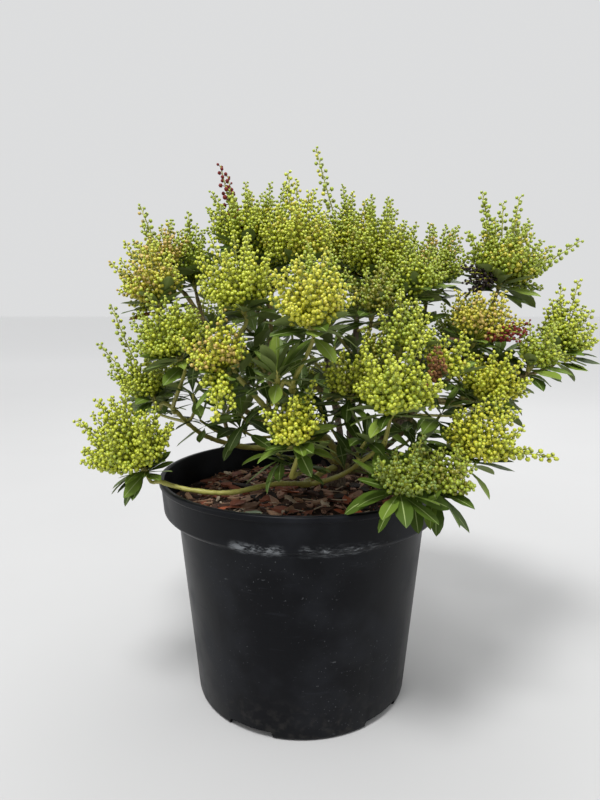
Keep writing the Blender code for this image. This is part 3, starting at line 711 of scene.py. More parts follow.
# Radii along the line, step of its rings, step of its nodes, sides and finish
STEM_BUILD = ((TWIG_RADIUS, TWIG_RADIUS, TWIG_TIP_RADIUS, TWIG_TIP_RADIUS), 0.0016, 0.007, 8, 0)
SHOOT_BUILD = ((0.0017, 0.0015, 0.0013, 0.0012), 0.0018, 0.006, 7, 1)
NODE_SWELL, NODE_REACH = 0.16, 0.0010
# Foot of the panicle in mm, length of its racemes in mm, racemes, leaves, length of a leaf in mm, and
# the letters of its buds' main, second and tip colour, as in BUD_LETTERS
HEADS = {
    "top": [((65, 30, 383), 68, 5, 4, 37, "LOG"), ((48, 52, 397), 58, 4, 4, 38, "YDG")],
    "upper_left": [((-123, -24, 360), 50, 5, 5, 38, "DBL"), ((-123, 22, 390), 43, 4, 4, 38, "BDG"),
                   ((-104, 42, 379), 50, 4, 4, 40, "GLG")],
    "right": [((178, 0, 377), 57, 5, 7, 44, "GDG")],
    "front_right": [((150, -50, 279), 52, 5, 5, 40, "YLL"), ((131, -88, 238), 52, 4, 5, 40, "YLL")],
    "front": [((7, -112, 342), 48, 6, 5, 40, "YDY"), ((-19, -92, 303), 14, 0, 7, 44, "LLL")],
    "back": [((20, 132, 352), 48, 4, 4, 42, "LGG"), ((44, 104, 384), 50, 4, 4, 42, "DLG")],
    "low_front": [((66, -114, 280), 50, 6, 6, 40, "LGL")],
    "low_left": [((-131, -62, 222), 60, 7, 6, 30, "LGL")],
    "lower_left": [((-102, -46, 314), 56, 5, 5, 40, "LGG"), ((-137, 2, 273), 46, 4, 5, 38, "LGG")],
    "top_left": [((-2, 2, 393), 60, 4, 4, 38, "LDL"), ((-55, 30, 412), 52, 5, 4, 38, "LGG"),
                 ((-36, 44, 399), 58, 4, 3, 36, "LDG")],
    "front_left": [((-60, -88, 307), 42, 4, 5, 36, "YBL"), ((-47, -58, 355), 52, 5, 4, 40, "LYL")],
    "foot_front": [((-4, -104, 256), 36, 5, 6, 34, "YLL")],
    # The middle heads lie deep in the crown: their darker olive and moss colours are partly the buds' own
    # tone and partly painted shade.
    "middle": [((60, -30, 350), 42, 4, 4, 38, "OMG"), ((39, -70, 286), 40, 3, 4, 36, "LOL"),
               ((68, -54, 312), 34, 3, 3, 34, "OMG")],
    "right_front_upper": [((78, -70, 322), 38, 4, 5, 40, "GLL"), ((108, -80, 303), 32, 4, 4, 40, "LDL")],
    # The low front-right heads take darker moss, olive and shade colours: partly the buds' own tone and
    # partly painted shade under the crown.
    "low_right": [((71, -130, 225), 36, 4, 5, 40, "MGS"), ((101, -110, 219), 40, 4, 5, 42, "GOG")],
    "upper_right": [((124, 42, 378), 52, 4, 5, 42, "GBG"), ((92, 76, 386), 46, 4, 4, 40, "GLG")],
    "far_right": [((229, -10, 315), 42, 4, 6, 38, "GLL"), ((147, -34, 327), 46, 4, 4, 36, "DBD"),
                  ((192, -46, 307), 34, 4, 4, 36, "GLG")],
    "back_right": [((164, 86, 316), 50, 4, 5, 42, "LGG"), ((108, 112, 330), 42, 4, 4, 42, "GDG")],
    "back_low": [((78, 152, 266), 48, 4, 5, 42, "LYL"), ((24, 150, 262), 42, 4, 4, 42, "GLG")],
    "back_left": [((-62, 122, 344), 50, 4, 4, 42, "DLG"), ((-28, 84, 392), 48, 4, 4, 42, "LGG")],
    "back_low_left": [((-116, 108, 286), 48, 4, 5, 42, "LGG"), ((-46, 142, 276), 44, 4, 4, 42, "GLG")],
}
# Leafy side shoots without a panicle, by bough: the share of its length, and the tip in mm
SHOOTS = {
    "upper_left": [(0.42, -54, -10, 258), (0.62, -70, 10, 300), (0.30, -58, 10, 242)],
    "lower_left": [(0.90, -96, -22, 280), (0.45, -96, 12, 250)],
    "front": [(0.45, 16, -40, 272), (0.70, -40, -40, 316), (0.30, -12, -34, 266), (0.25, 24, -44, 256)],
    "foot_front": [(0.55, -20, -70, 238)], "low_front": [(0.80, 50, -90, 252)],
    "front_right": [(0.70, 116, -56, 268), (0.40, 104, -12, 242)], "middle": [(0.35, 0, -16, 278)],
    "right": [(0.70, 150, -20, 306), (0.55, 120, 36, 300)], "far_right": [(0.40, 172, -22, 308)],
    "top": [(0.45, 30, 8, 320)], "back": [(0.45, 60, 84, 300), (0.70, 4, 96, 320)],
    "back_right": [(0.60, 120, 96, 292)], "back_low_left": [(0.60, -70, 100, 280)],
    "back_left": [(0.60, -10, 96, 330)], "upper_right": [(0.60, 104, 48, 330)],
    "top_left": [(0.55, -44, 40, 330), (0.85, -70, 0, 392)], "low_right": [(0.30, 96, -52, 236)],
}
# Smaller panicles on side twigs, which close the crown between the larger ones: the bough, the share
# of its length, the foot in mm, the length of the racemes in mm
SIDE_PANICLES = [
    ("upper_left", 0.80, (-130, 58, 322), 38), ("top", 0.60, (14, -48, 366), 36),
    ("upper_right", 0.70, (102, -12, 372), 36), ("back_right", 0.80, (144, 130, 280), 40),
    ("back_right", 0.55, (182, 84, 254), 40), ("right", 0.80, (164, 46, 318), 38),
    ("top", 0.75, (90, -6, 362), 36), ("back_right", 0.70, (192, 44, 268), 34),
    ("lower_left", 0.85, (-148, 54, 260), 36), ("back_left", 0.90, (-102, 94, 330), 36),
]


def leaning(axis, lean, turn):
    """A direction that leans from an axis."""
    side = axis.orthogonal().normalized()
    flat = cos(turn) * side + sin(turn) * axis.cross(side)
    return (cos(lean) * axis + sin(lean) * flat).normalized()


class Head:
    """One panicle with its leaf whorl: its place and axis, and for a side twig its share of the bough."""

    def __init__(self, bough, number, foot, length, racemes, leaves, leaf_length, tints, share=0.0):
        self.bough, self.key = bough, f"{bough} {number}"
        self.racemes, self.leaves, self.tints, self.share = racemes, leaves, tints, share
        self.foot = at(*foot)
        self.length, self.leaf_length = length * MILLIMETRE, leaf_length * MILLIMETRE
        self.axis = (UP + OUTWARD_LEAN * (self.foot - at(*CROWN_HEART)).normalized()).normalized()
        self.neck = self.foot - self.axis * HEART_LENGTH
        self.centre = self.foot + self.axis * self.length * 0.35


large_heads = [Head(bough, k, *row) for bough, rows in HEADS.items() for k, row in enumerate(rows)]
heads = large_heads + [Head(bough, f"side {k}", foot, length, 3, 4, 36, "GLG", share)
                       for k, (bough, share, foot, length) in enumerate(SIDE_PANICLES)]


def twig_paths(name):
    """The mass's stem from its bough's tip to the first head, and the forks to the others."""
    first, *others = [head for head in large_heads if head.bough == name]
    tip, way = limbs[name].tip()
    start = tip + way * GAP
    fork = start + way * FIRST_STRETCH
    return [[start, fork, first.neck, first.foot]] + [
        [fork, fork.lerp(head.foot, 0.5), head.neck, head.foot] for head in others]


def side_path(name, share, tip, neck=None):
    """A shoot or twig that leaves the side of a bough and ends at a tip."""
    start, way = limbs[name].side(share, tip)
    bend = neck or start.lerp(tip, 0.6) + (way - UP) * 0.004
    return [start - way * 0.002, start + way * 0.004, bend, tip]


twigs = {name: twig_paths(name) for name in HEADS}
shoots = {name: [side_path(name, share, at(*tip)) for share, *tip in SHOOTS.get(name, ())] for name in HEADS}


def tubes(paths, radii, sides, capped=True):
    """Points and triangles of many tubes; paths is (tubes, points, 3), radii (tubes, points)."""
    paths = np.asarray(paths, dtype=float)
    count, length, _ = paths.shape
    ahead = np.diff(paths, axis=1)
    tangents = unit(np.concatenate([ahead[:, :1], ahead[:, 1:] + ahead[:, :-1], ahead[:, -1:]], axis=1))
    rough = np.where(np.abs(tangents.mean(axis=1)[:, 2:]) > 0.8, [[1.0, 0.0, 0.0]], [[0.0, 0.0, 1.0]])
    side = unit(rough[:, None, :] - tangents * np.sum(rough[:, None, :] * tangents, axis=2, keepdims=True))
    other = np.cross(tangents, side)
    angle = TURN * np.arange(sides)[None, None, :, None] / sides
    ring = np.cos(angle) * side[:, :, None, :] + np.sin(angle) * other[:, :, None, :]
    points = paths[:, :, None, :] + ring * np.asarray(radii)[:, :, None, None]
    triangles = []
    for row in range(length - 1):
        for k in range(sides):
            a, b = row * sides + k, row * sides + (k + 1) % sides
            triangles += [(a, b, b + sides), (a, b + sides, a + sides)]
    last = (length - 1) * sides
    for k in range(1, sides - 1) if capped else ():
        triangles += [(0, k + 1, k), (last, last + k, last + k + 1)]
    return points.reshape(count, length * sides, 3), np.array(triangles)


def make_twigs(name):
    """The stem and forks of one mass, with swollen nodes and a scaly heart under each panicle."""
    batch = Batch()
    own = [head for head in heads if head.bough == name]
    stems = [([path[0] + (path[0] - path[1]).normalized() * 0.003] + path[1:], STEM_BUILD)
             for path in twigs[name]]
    side_twigs = [side_path(name, head.share, head.foot, head.neck) for head in own if head.share]
    stems += [(path, SHOOT_BUILD) for path in shoots[name] + side_twigs]
    for path, (radii, step, beat, sides, slot) in stems:
        line, thick, marks = fine_line(path, radii, step)
        thick = thick * (1.0 + NODE_SWELL * np.exp(-((marks % beat - beat / 2.0) / NODE_REACH) ** 2))
        batch.add(*tubes(line[None], thick[None], sides), [slot])
    for head in own:
        line = [tuple(head.foot + head.axis * HEART_LENGTH * share) for share in np.linspace(-0.5, 0.5, 7)]
        batch.add(*tubes([line], [HEART_RADII], 9), [1])
    skin = shoot_green if name in GREEN_BOUGHS else young_bark
    batch.make(name + "_twigs", [skin, shoot_green], "bark", [name + "_foliage"])


for name in HEADS:
    make_twigs(name)

# The leaves
# Leathery evergreen leaves, narrow at the stalk and widest past the middle, folded along a pale
# midrib and paler underneath. They stand in whorls under each panicle and round old nodes.
LEAF_LENGTH = 0.044
LEAF_SLENDER = 0.335
LEAF_OUTLINE = ((0.0, 0.09), (0.10, 0.12), (0.26, 0.42), (0.43, 0.80), (0.60, 1.0), (0.78, 0.84),
                (0.92, 0.44), (1.0, 0.03))
LEAF_THICKNESS = 0.010
RIB_WIDTH = 0.07
# Sag of the tip, fold of each half in degrees and twist in degrees
LEAF_HABITS = ((0.10, 16, 0), (0.24, 24, 10), (-0.05, 30, -8), (0.34, 14, -14))
HABIT_SHARES = (0.36, 0.26, 0.22, 0.16)
LEAF_LIFT = 0.30
LEAF_LENGTHS = (1.0, 0.86, 0.72)
# Lean from the head's axis in degrees, share of the model's leaf count, drop below the foot in mm, length
LEAF_WHORLS = ((99, 1.45, 3, 1.0), (82, 1.2, 2, 0.95), (66, 0.8, 1, 0.72), (104, 0.9, 8, 0.90))
ROSETTE_WHORLS = ((72, 1.2, 2, 1.0), (50, 0.9, 0, 0.95), (28, 0.6, -2, 0.85), (94, 0.8, 5, 1.0))
# Shares of the bough's length where its old nodes are, and the boughs without leaves there
OLD_NODES = (0.62, 0.80, 0.97)
BARE_BOUGHS = ("front_right", "lower_left", "low_left")
# Long leaves that hang from the foot of a low panicle: the places of their tips in mm
HANGING = {
    "low_right 1": [(98, -128, 192), (124, -126, 196), (123, -118, 217)],
    "low_right 0": [(54, -134, 198), (79, -136, 210), (29, -125, 219)],
    "low_left 0": [(-159, -70, 211), (-147, -78, 200), (-135, -82, 203)],
}
LEAF_COLOURS = {
    "leaf_deep": (0.052, 0.090, 0.010), "leaf_green": (0.108, 0.168, 0.022),
    "leaf_fresh": (0.175, 0.245, 0.036), "leaf_back": (0.190, 0.240, 0.075),
    "leaf_rib": (0.240, 0.300, 0.110), "leaf_dry": (0.180, 0.062, 0.022)}
LEAF_DEEP, LEAF_GREEN, LEAF_FRESH, LEAF_BACK, LEAF_RIB, LEAF_DRY = range(6)
# Shares of deep, green, fresh and dry leaves in a whorl and a rosette, and of the first two on wood
WHORL_SHARES, ROSETTE_SHARES, WOOD_SHARES = (40, 44, 15, 0.3), (6, 54, 40, 0), (60, 40)
RIM_ROOM, LIP_ROOM = 0.006, 0.008


def leaf_shape(sag, fold, twist):
    """A thin closed leaf of unit length along X: its points, its triangles and the finish of each."""
    rows = len(LEAF_OUTLINE)
    bpy.ops.mesh.primitive_grid_add(x_subdivisions=3, y_subdivisions=rows - 1, size=2.0)
    grid = bpy.context.object
    for vertex in grid.data.vertices:
        column = (-1.0, -RIB_WIDTH, RIB_WIDTH, 1.0)[round((vertex.co.x + 1.0) * 1.5)]
        share, width = LEAF_OUTLINE[round((vertex.co.y + 1.0) / 2.0 * (rows - 1))]
        across = column * LEAF_SLENDER / 2.0 * (width if abs(column) == 1.0 else max(width, 0.10))
        roll = radians(twist) * share
        rise = abs(across) * tan(radians(fold)) - 0.5 * abs(across) ** 2 / LEAF_SLENDER
        wave = 0.010 * sin(9.0 * share + 2.0 * column) * abs(column) * width
        vertex.co = (share - 0.25 * abs(sag) * share ** 3,
                     across * cos(roll) - rise * sin(roll),
                     rise * cos(roll) + across * sin(roll) - sag * share ** 2 + wave)
    top, triangles = taken(grid)
    rib = np.isin(np.arange(len(top)) % 4, (1, 2))
    inner = rib & (np.arange(len(top)) // 4 % (rows - 1) > 0)
    triangles = triangles[np.any(inner[triangles], axis=1)]
    under_index = np.arange(len(top))
    under_index[inner] = len(top) + np.arange(inner.sum())
    under = top[inner] - [0.0, 0.0, LEAF_THICKNESS]
    ribbed = np.all(rib[triangles], axis=1)
    both = np.concatenate([triangles, under_index[triangles][:, ::-1]])
    finish = np.concatenate([np.where(ribbed, 1, 0), np.where(ribbed, 3, 2)])
    used, both = np.unique(both, return_inverse=True)
    return np.concatenate([top, under])[used], both.reshape(-1, 3), finish


leaf_shapes = [leaf_shape(*habit) for habit in LEAF_HABITS]


class Space:
    """What bounds each mass: the halfway planes to the other masses' heads, the limbs and the pot."""

    def __init__(self):
        runs = [("", limb.path, limb.radii) for limb in limbs.values()]
        runs += [(name, path, [TWIG_RADIUS] * 4) for name, paths in twigs.items() for path in paths]
        stretches = [(name, tuple(a), tuple(b - a), radius)
                     for name, path, radii in runs for a, b, radius in zip(path, path[1:], radii)]
        self.owner, self.start, self.along, self.thick = (np.array(column) for column in zip(*stretches))
        self.centres = np.array([tuple(head.centre) for head in large_heads])
        self.boughs = np.array([head.bough for head in large_heads])

    def clear(self, bough, points, radii):
        """True where balls round the points keep to the mass's space and touch no limb."""
        points = np.array([tuple(p) for p in points])
        radii = np.asarray(radii)
        own, rest = self.centres[self.boughs == bough], self.centres[self.boughs != bough]
        distance = np.linalg.norm(points[:, None] - own[None], axis=2)
        nearest = own[np.argmin(distance, axis=1)]
        squares = np.sum((points[:, None] - rest[None]) ** 2, axis=2) - distance.min(axis=1)[:, None] ** 2
        apart = np.linalg.norm(rest[None] - nearest[:, None], axis=2)
        if np.any(squares / (2.0 * apart) < radii[:, None] + GAP):
            return False
        beyond = np.hypot(points[:, 0], points[:, 1]) - LIP_RADIUS - radii > GAP
        if not np.all(beyond | (points[:, 2] - radii > POT_HEIGHT + GAP)):
            return False
        other = self.owner != bough
        start, along, thick = self.start[other], self.along[other], self.thick[other]
        share = np.sum((points[:, None] - start[None]) * along[None], axis=2) / np.sum(along ** 2, axis=1)
        foot = start[None] + along[None] * np.clip(share, 0.0, 1.0)[:, :, None]
        gaps = np.linalg.norm(points[:, None] - foot, axis=2) - thick[None] - radii[:, None]
        return bool(np.all(gaps > GAP))

    def apart(self, points, reach):
        """True where every point keeps that far from the middles of the large panicles."""
        points = np.array([tuple(p) for p in points])
        return bool(np.linalg.norm(points[:, None] - self.centres[None], axis=2).min() > reach)


space = Space()


def leaf_clear(bough, root, way, length):
    """True where the leaf's outline keeps to its space."""
    across = way.cross(UP).normalized() * length * LEAF_SLENDER / 2.0
    points = []
    for share, width in ((0.3, 0.5), (0.62, 1.0), (0.85, 0.5), (1.0, 0.0)):
        middle = root + way * length * share
        points += [middle, middle + across * width, middle - across * width]
    return space.clear(bough, points, [0.0008] * len(points))


def whorl_rule(head):
    """The leaves of a head's whorls as root, direction and length, by the model's rule."""
    dice = random.Random("leaves " + head.key)
    whorls = LEAF_WHORLS if head.racemes else ROSETTE_WHORLS
    for lean, share, drop, size in whorls[:2] if head.key in HANGING else whorls:
        count = max(3, round(head.leaves * share))
        first = dice.uniform(0.0, pi)
        for k in range(count):
            angle = radians(lean) + dice.uniform(-0.13, 0.13)
            turn = first + (k + 0.5) * 2.0 * pi / count + dice.uniform(-0.2, 0.2)
            way = (leaning(head.axis, angle, turn) + UP * LEAF_LIFT).normalized()
            root = head.foot - head.axis * drop * MILLIMETRE
            yield root, way, head.leaf_length * size * dice.uniform(0.82, 1.10)


def limb_rule(name):
    """The sparse leaves round a bough's old nodes, then the rosettes at the tips of its side shoots."""
    limb = limbs[name]
    dice = random.Random("nodes " + name)
    for share in () if name in BARE_BOUGHS else OLD_NODES:
        spot, _ = limb.side(share, limb.path[-1] + UP)
        along = limb.tip()[1]
        side = along.orthogonal().normalized()
        first = dice.uniform(0.0, 6.28)
        for k in range(5):
            turn = first + k * 2.0 * pi / 5 + dice.uniform(-0.3, 0.3)
            way = along * dice.uniform(0.2, 0.7) + cos(turn) * side + sin(turn) * along.cross(side)
            yield spot, (way + UP * 0.25).normalized(), LEAF_LENGTH * dice.uniform(0.55, 0.85)
    dice = random.Random("shoots " + name)
    for path in shoots[name]:
        axis = ((path[-1] - path[-2]).normalized() + UP * 0.8).normalized()
        first = dice.uniform(0.0, 6.28)
        for k in range(11):
            lean = radians(dice.uniform(38, 62) if k < 5 else dice.uniform(66, 100))
            root = path[-1] - axis * (0.0 if k < 5 else dice.uniform(0.002, 0.010))
            way = leaning(axis, lean, first + k * GOLDEN_ANGLE)
            yield root, way, LEAF_LENGTH * dice.uniform(0.62, 0.88)


leaf_finishes = []
for name, colour in LEAF_COLOURS.items():
    gloss = 0.60 if name in ("leaf_back", "leaf_dry") else 0.46
    finish = Finish(name, Base_Color=colour, Roughness=gloss, Specular_IOR_Level=0.20)
    finish.relief(finish.noise(900.0, 2.0), 0.0002, 0.4)
    leaf_finishes.append(finish)


def add_leaves(batch, leaves, dice):
    """Deal out leaves given as root, direction, length and tint, each in one of the habits."""
    habits = dice.choice(len(LEAF_HABITS), len(leaves), p=HABIT_SHARES)
    for habit, (pattern, triangles, parts) in enumerate(leaf_shapes):
        chosen = [leaf for leaf, own in zip(leaves, habits) if own == habit]
        if not chosen:
            continue
        places, along = (np.array([tuple(leaf[k]) for leaf in chosen]) for k in (0, 1))
        length, tint = (np.array([leaf[k] for leaf in chosen]) for k in (2, 3))
        across = unit(np.cross(np.array([[0.0, 0.0, 1.0]]), along))
        face = np.cross(along, across)
        roll = dice.normal(0.0, 0.25, (len(chosen), 1))
        axes = along, across * np.cos(roll) + face * np.sin(roll), face * np.cos(roll) - across * np.sin(roll)
        sizes = np.stack([length, length * dice.uniform(0.85, 1.15, len(chosen)), length], axis=1)
        rib, back = np.full((2, len(chosen), 1), [[[LEAF_RIB]], [[LEAF_BACK]]])
        under = np.where(tint == LEAF_DRY, LEAF_DRY, LEAF_BACK)[:, None]
        slots = np.choose(parts[None], (tint[:, None], rib, under, back))
        batch.add(dealt(pattern, places, axes, sizes), triangles, slots)


def make_leaves(name):
    """All leaves of one mass. On bare wood they stay over the pot's rim and out of the compost."""
    leaves = []
    dice = random.Random("tints " + name)
    for head in (head for head in heads if head.bough == name):
        for root, way, length in whorl_rule(head):
            for share in LEAF_LENGTHS:
                if head.share or leaf_clear(name, root, way, length * share):
                    shares = WHORL_SHARES if head.racemes else ROSETTE_SHARES
                    tint = dice.choices((LEAF_DEEP, LEAF_GREEN, LEAF_FRESH, LEAF_DRY), shares)[0]
                    leaves.append((root, way, length * share, tint))
                    break
        for tip in HANGING.get(head.key, ()):
            reach = at(*tip) - head.foot
            leaves.append((head.foot, reach.normalized(), reach.length * 1.1, LEAF_DEEP))
    for root, way, length in limb_rule(name):
        tip = root + way * length
        if min(root.z, tip.z) > POT_HEIGHT + RIM_ROOM or tip.xy.length > LIP_RADIUS + LIP_ROOM:
            leaves.append((root, way, length, dice.choices((LEAF_DEEP, LEAF_GREEN), WOOD_SHARES)[0]))
    batch = Batch()
    add_leaves(batch, leaves, np.random.default_rng(len(leaves)))
    batch.make(name + "_leaves", leaf_finishes, "foliage", [name + "_foliage"], sharp=60)


for name in HEADS:
    make_leaves(name)

# The flower panicles
# Racemes of waxy unopened buds that radiate from each heart: a thin stalk with nodding round buds on
# short pedicels, set in a spiral and smaller towards the tip. A few are dry from last season.
SPREAD = radians(66)
RACEME_RADIUS, SLIM = 0.0072, 0.8
# Share of the raceme's length, and share of its radius there
RACEME_RINGS = ((0.22, 0.20), (0.55, 1.0), (0.86, 0.66), (1.0, 0.0))
RACEME_CURL, RACEME_LEVEL = 0.20, 0.25
RACEME_FIRST, RACEME_FALLOFF = 1.30, 0.62
RACEME_LENGTHS = (1.0, 0.8, 0.6)
STALK_RADIUS, STALK_TIP_RADIUS, STALK_POINTS = 0.00085, 0.00045, 6
BARE_SHARE, INNER_SHARE, SWAPPED_SHARE = 0.24, 0.42, 0.25
FINE_LOWEST, FINE_RACEMES = 0.16, 30
SIDE_CLEARANCE = 0.026
BUD_STEP, BUD_SIZE = 0.00124, 0.0031
PEDICEL, PEDICEL_RADIUS = 0.0028, 0.00036
SPIKE_SIZE, SPIKE_STEP = 1.26, 0.0019
DRY_SIZE, DRY_BARE, DRY_STEP = 0.88, 0.3, 0.0016
# The darkest green of these is painted shade, for buds low in the crown where other heads shade them.
BUD_COLOURS = {
    "bud_lime": (0.47, 0.52, 0.028), "bud_yellow": (0.56, 0.55, 0.032), "bud_gold": (0.50, 0.45, 0.032),
    "bud_green": (0.31, 0.385, 0.024), "bud_blush": (0.50, 0.36, 0.080), "bud_olive": (0.24, 0.23, 0.018),
    "bud_moss": (0.17, 0.22, 0.014), "bud_brown": (0.19, 0.082, 0.028), "bud_wine": (0.16, 0.018, 0.015),
    "bud_dry": (0.016, 0.010, 0.008), "bud_painted_shade": (0.125, 0.185, 0.014), "calyx": (0.17, 0.20, 0.025)}
# A letter for each of them: lime, yellow, gold, green, blush, olive, moss, brown, wine, dry, painted shade,
# calyx
BUD_LETTERS = "LYDGBOMNWKSC"
GOLD, BLUSH, BROWN, WINE, DRY, CALYX = (BUD_LETTERS.index(letter) for letter in "DBNWKC")
STALK_COLOURS = {"stalk_green": (0.34, 0.37, 0.030), "stalk_amber": (0.40, 0.31, 0.030),
                 "stalk_dry": (0.120, 0.050, 0.025)}
# Single long racemes that stand out of the crown: places of their tips in mm
SPIKES = {
    "top 1": [(14, 48, 504)], "upper_left 1": [(-148, 24, 448)], "upper_left 2": [(-107, 40, 444)],
    "right 0": [(247, 0, 414), (159, 0, 455), (182, 14, 449), (192, 0, 452), (144, -14, 420)],
    "front_right 1": [(193, -104, 243)], "lower_left 1": [(-172, 2, 357), (-184, 0, 323)],
    "front_left 0": [(-62, -128, 276)], "top_left 0": [(-12, 10, 474)], "top_left 1": [(-74, 26, 484)],
    "far_right 0": [(244, -10, 379), (233, 0, 375), (252, -22, 322), (255, -14, 352)],
    "low_left 0": [(-184, -64, 264), (-166, -66, 281), (-179, -66, 238)],
}
# Further racemes that nod out of a head: places of their tips in mm
NODDING = {
    "front_left 0": [(-50, -120, 284), (-66, -122, 290), (-56, -126, 296), (-72, -116, 300),
                     (-62, -112, 286)],
    "right 0": [(221, 0, 393), (214, -4, 373), (209, 6, 370), (226, 8, 402), (161, 0, 447), (148, -4, 418),
                (142, -6, 404)],
    "low_left 0": [(-164, -64, 279), (-153, -70, 283), (-172, -62, 269)],
    "foot_front 0": [(9, -104, 301), (3, -106, 290)], "low_right 1": [(129, -112, 238)],
    "far_right 0": [(238, -24, 312), (229, -30, 311), (220, -14, 362), (230, -10, 363), (244, -10, 362)],
    "top 0": [(65, 26, 457), (80, 26, 455)], "top 1": [(40, 50, 471), (49, 50, 465), (44, 46, 458)],
    "top_left 0": [(18, 40, 456)], "top_left 1": [(-67, 26, 464)],
    "top_left 2": [(-29, 34, 470), (-16, 34, 468)], "upper_right 0": [(138, 40, 432), (149, 40, 432)],
    "upper_left 2": [(-106, 40, 436), (-94, 40, 427)], "upper_left 0": [(-148, -20, 359), (-144, -30, 347)],
}
# Dry racemes of last season: their tint, and the places of their tips in mm
DRY_RACEMES = {
    "top_left 1": (WINE, [(-68, 30, 476)]),
    "right 0": (DRY, [(136, -30, 390), (143, -30, 385), (138, -30, 377), (146, -30, 370), (150, -30, 379),
                      (140, -30, 367)]),
    "far_right 1": (WINE, [(171, -60, 342), (183, -56, 337), (166, -64, 333), (176, -62, 330),
                           (188, -50, 344), (179, -66, 336)]),
    "right_front_upper 1": (BROWN, [(97, -118, 328), (91, -122, 321), (100, -122, 317), (92, -124, 310),
                                    (90, -124, 302)]),
}


def bud_shape():
    """A plump bud of about unit size along Z, with a blunt point, and which faces are its calyx."""
    bpy.ops.mesh.primitive_uv_sphere_add(segments=6, ring_count=3, radius=0.5)
    bud = bpy.context.object
    for vertex in bud.data.vertices:
        spot = vertex.co
        height = spot.z + 0.5
        wide = 1.12 if height > 0.6 else 1.26
        spot.x *= wide
        spot.y *= wide
        spot.z = height * 1.04 + (0.05 if height > 0.99 else 0.0)
    points, triangles = taken(bud)
    return points, triangles, points[triangles][:, :, 2].min(axis=1) < 0.01


bud_points, bud_triangles, bud_calyx = bud_shape()


def raceme_line(root, way, length, shares):
    """Centre line of a raceme: it curls up to its tip, or droops to it where it grows level."""
    curl = UP * (RACEME_CURL if way.z > RACEME_LEVEL else -RACEME_CURL)
    return [tuple(root + length * (way * share + curl * share * (share - 1.0))) for share in shares]


def raceme_rule(head):
    """All racemes of a head as direction, length and rank: the model's own, its spikes, then finer ones."""
    root = head.foot + head.axis * TWIG_RADIUS
    dice = random.Random(head.key)
    for k in range(head.racemes):
        lean = SPREAD * sqrt((k + 0.4) / head.racemes)
        turn = k * GOLDEN_ANGLE + dice.uniform(-0.2, 0.2)
        share = RACEME_FIRST - RACEME_FALLOFF * lean / SPREAD + dice.uniform(-0.08, 0.08)
        yield leaning(head.axis, lean, turn), head.length * share, "main"
    for tip in SPIKES.get(head.key, ()):
        reach = at(*tip) - root
        yield reach.normalized(), reach.length, "spike"
    dice = random.Random("finer " + head.key)
    count = round(FINE_RACEMES * (head.length / 0.050) ** 2) if head.racemes else 0
    twist = dice.uniform(0.0, 6.28)
    for k in range(count):
        lean = SPREAD * sqrt((k + 0.5) / count)
        turn = twist + k * GOLDEN_ANGLE + dice.uniform(-0.3, 0.3)
        share = (RACEME_FIRST - RACEME_FALLOFF * lean / SPREAD) * dice.uniform(0.72, 0.98)
        way = leaning(head.axis, lean, turn)
        way.z = max(way.z, FINE_LOWEST)
        yield way.normalized(), head.length * share, "fine"


def clear_racemes(head):
    """The racemes that fit the space, shortened where they must be."""
    root = head.foot + head.axis * TWIG_RADIUS
    for way, length, rank in raceme_rule(head):
        radii = [RACEME_RADIUS * ring[1] * (1.0 if rank == "main" else SLIM) for ring in RACEME_RINGS]
        for share in RACEME_LENGTHS:
            points = raceme_line(root, way, length * share, [ring[0] for ring in RACEME_RINGS])
            if head.share:
                fits = space.apart(points, SIDE_CLEARANCE)
            else:
                fits = space.clear(head.bough, points, radii)
            if rank == "spike" or fits:
                yield way, length * share, rank
                break


def waxy(name, colour):
    """The satin skin of a bud in one plain colour."""
    rough, gloss = (0.7, 0.3) if name in ("bud_brown", "bud_wine", "bud_dry") else (0.38, 0.75)
    finish = Finish(name, Base_Color=colour, Roughness=rough, Specular_IOR_Level=gloss)
    finish.relief(finish.noise(1500.0, 2.0), 0.0001, 0.3)
    return finish


bud_finishes = [waxy(name, colour) for name, colour in BUD_COLOURS.items()]
stalk_finishes = [waxy(name, colour) for name, colour in STALK_COLOURS.items()]


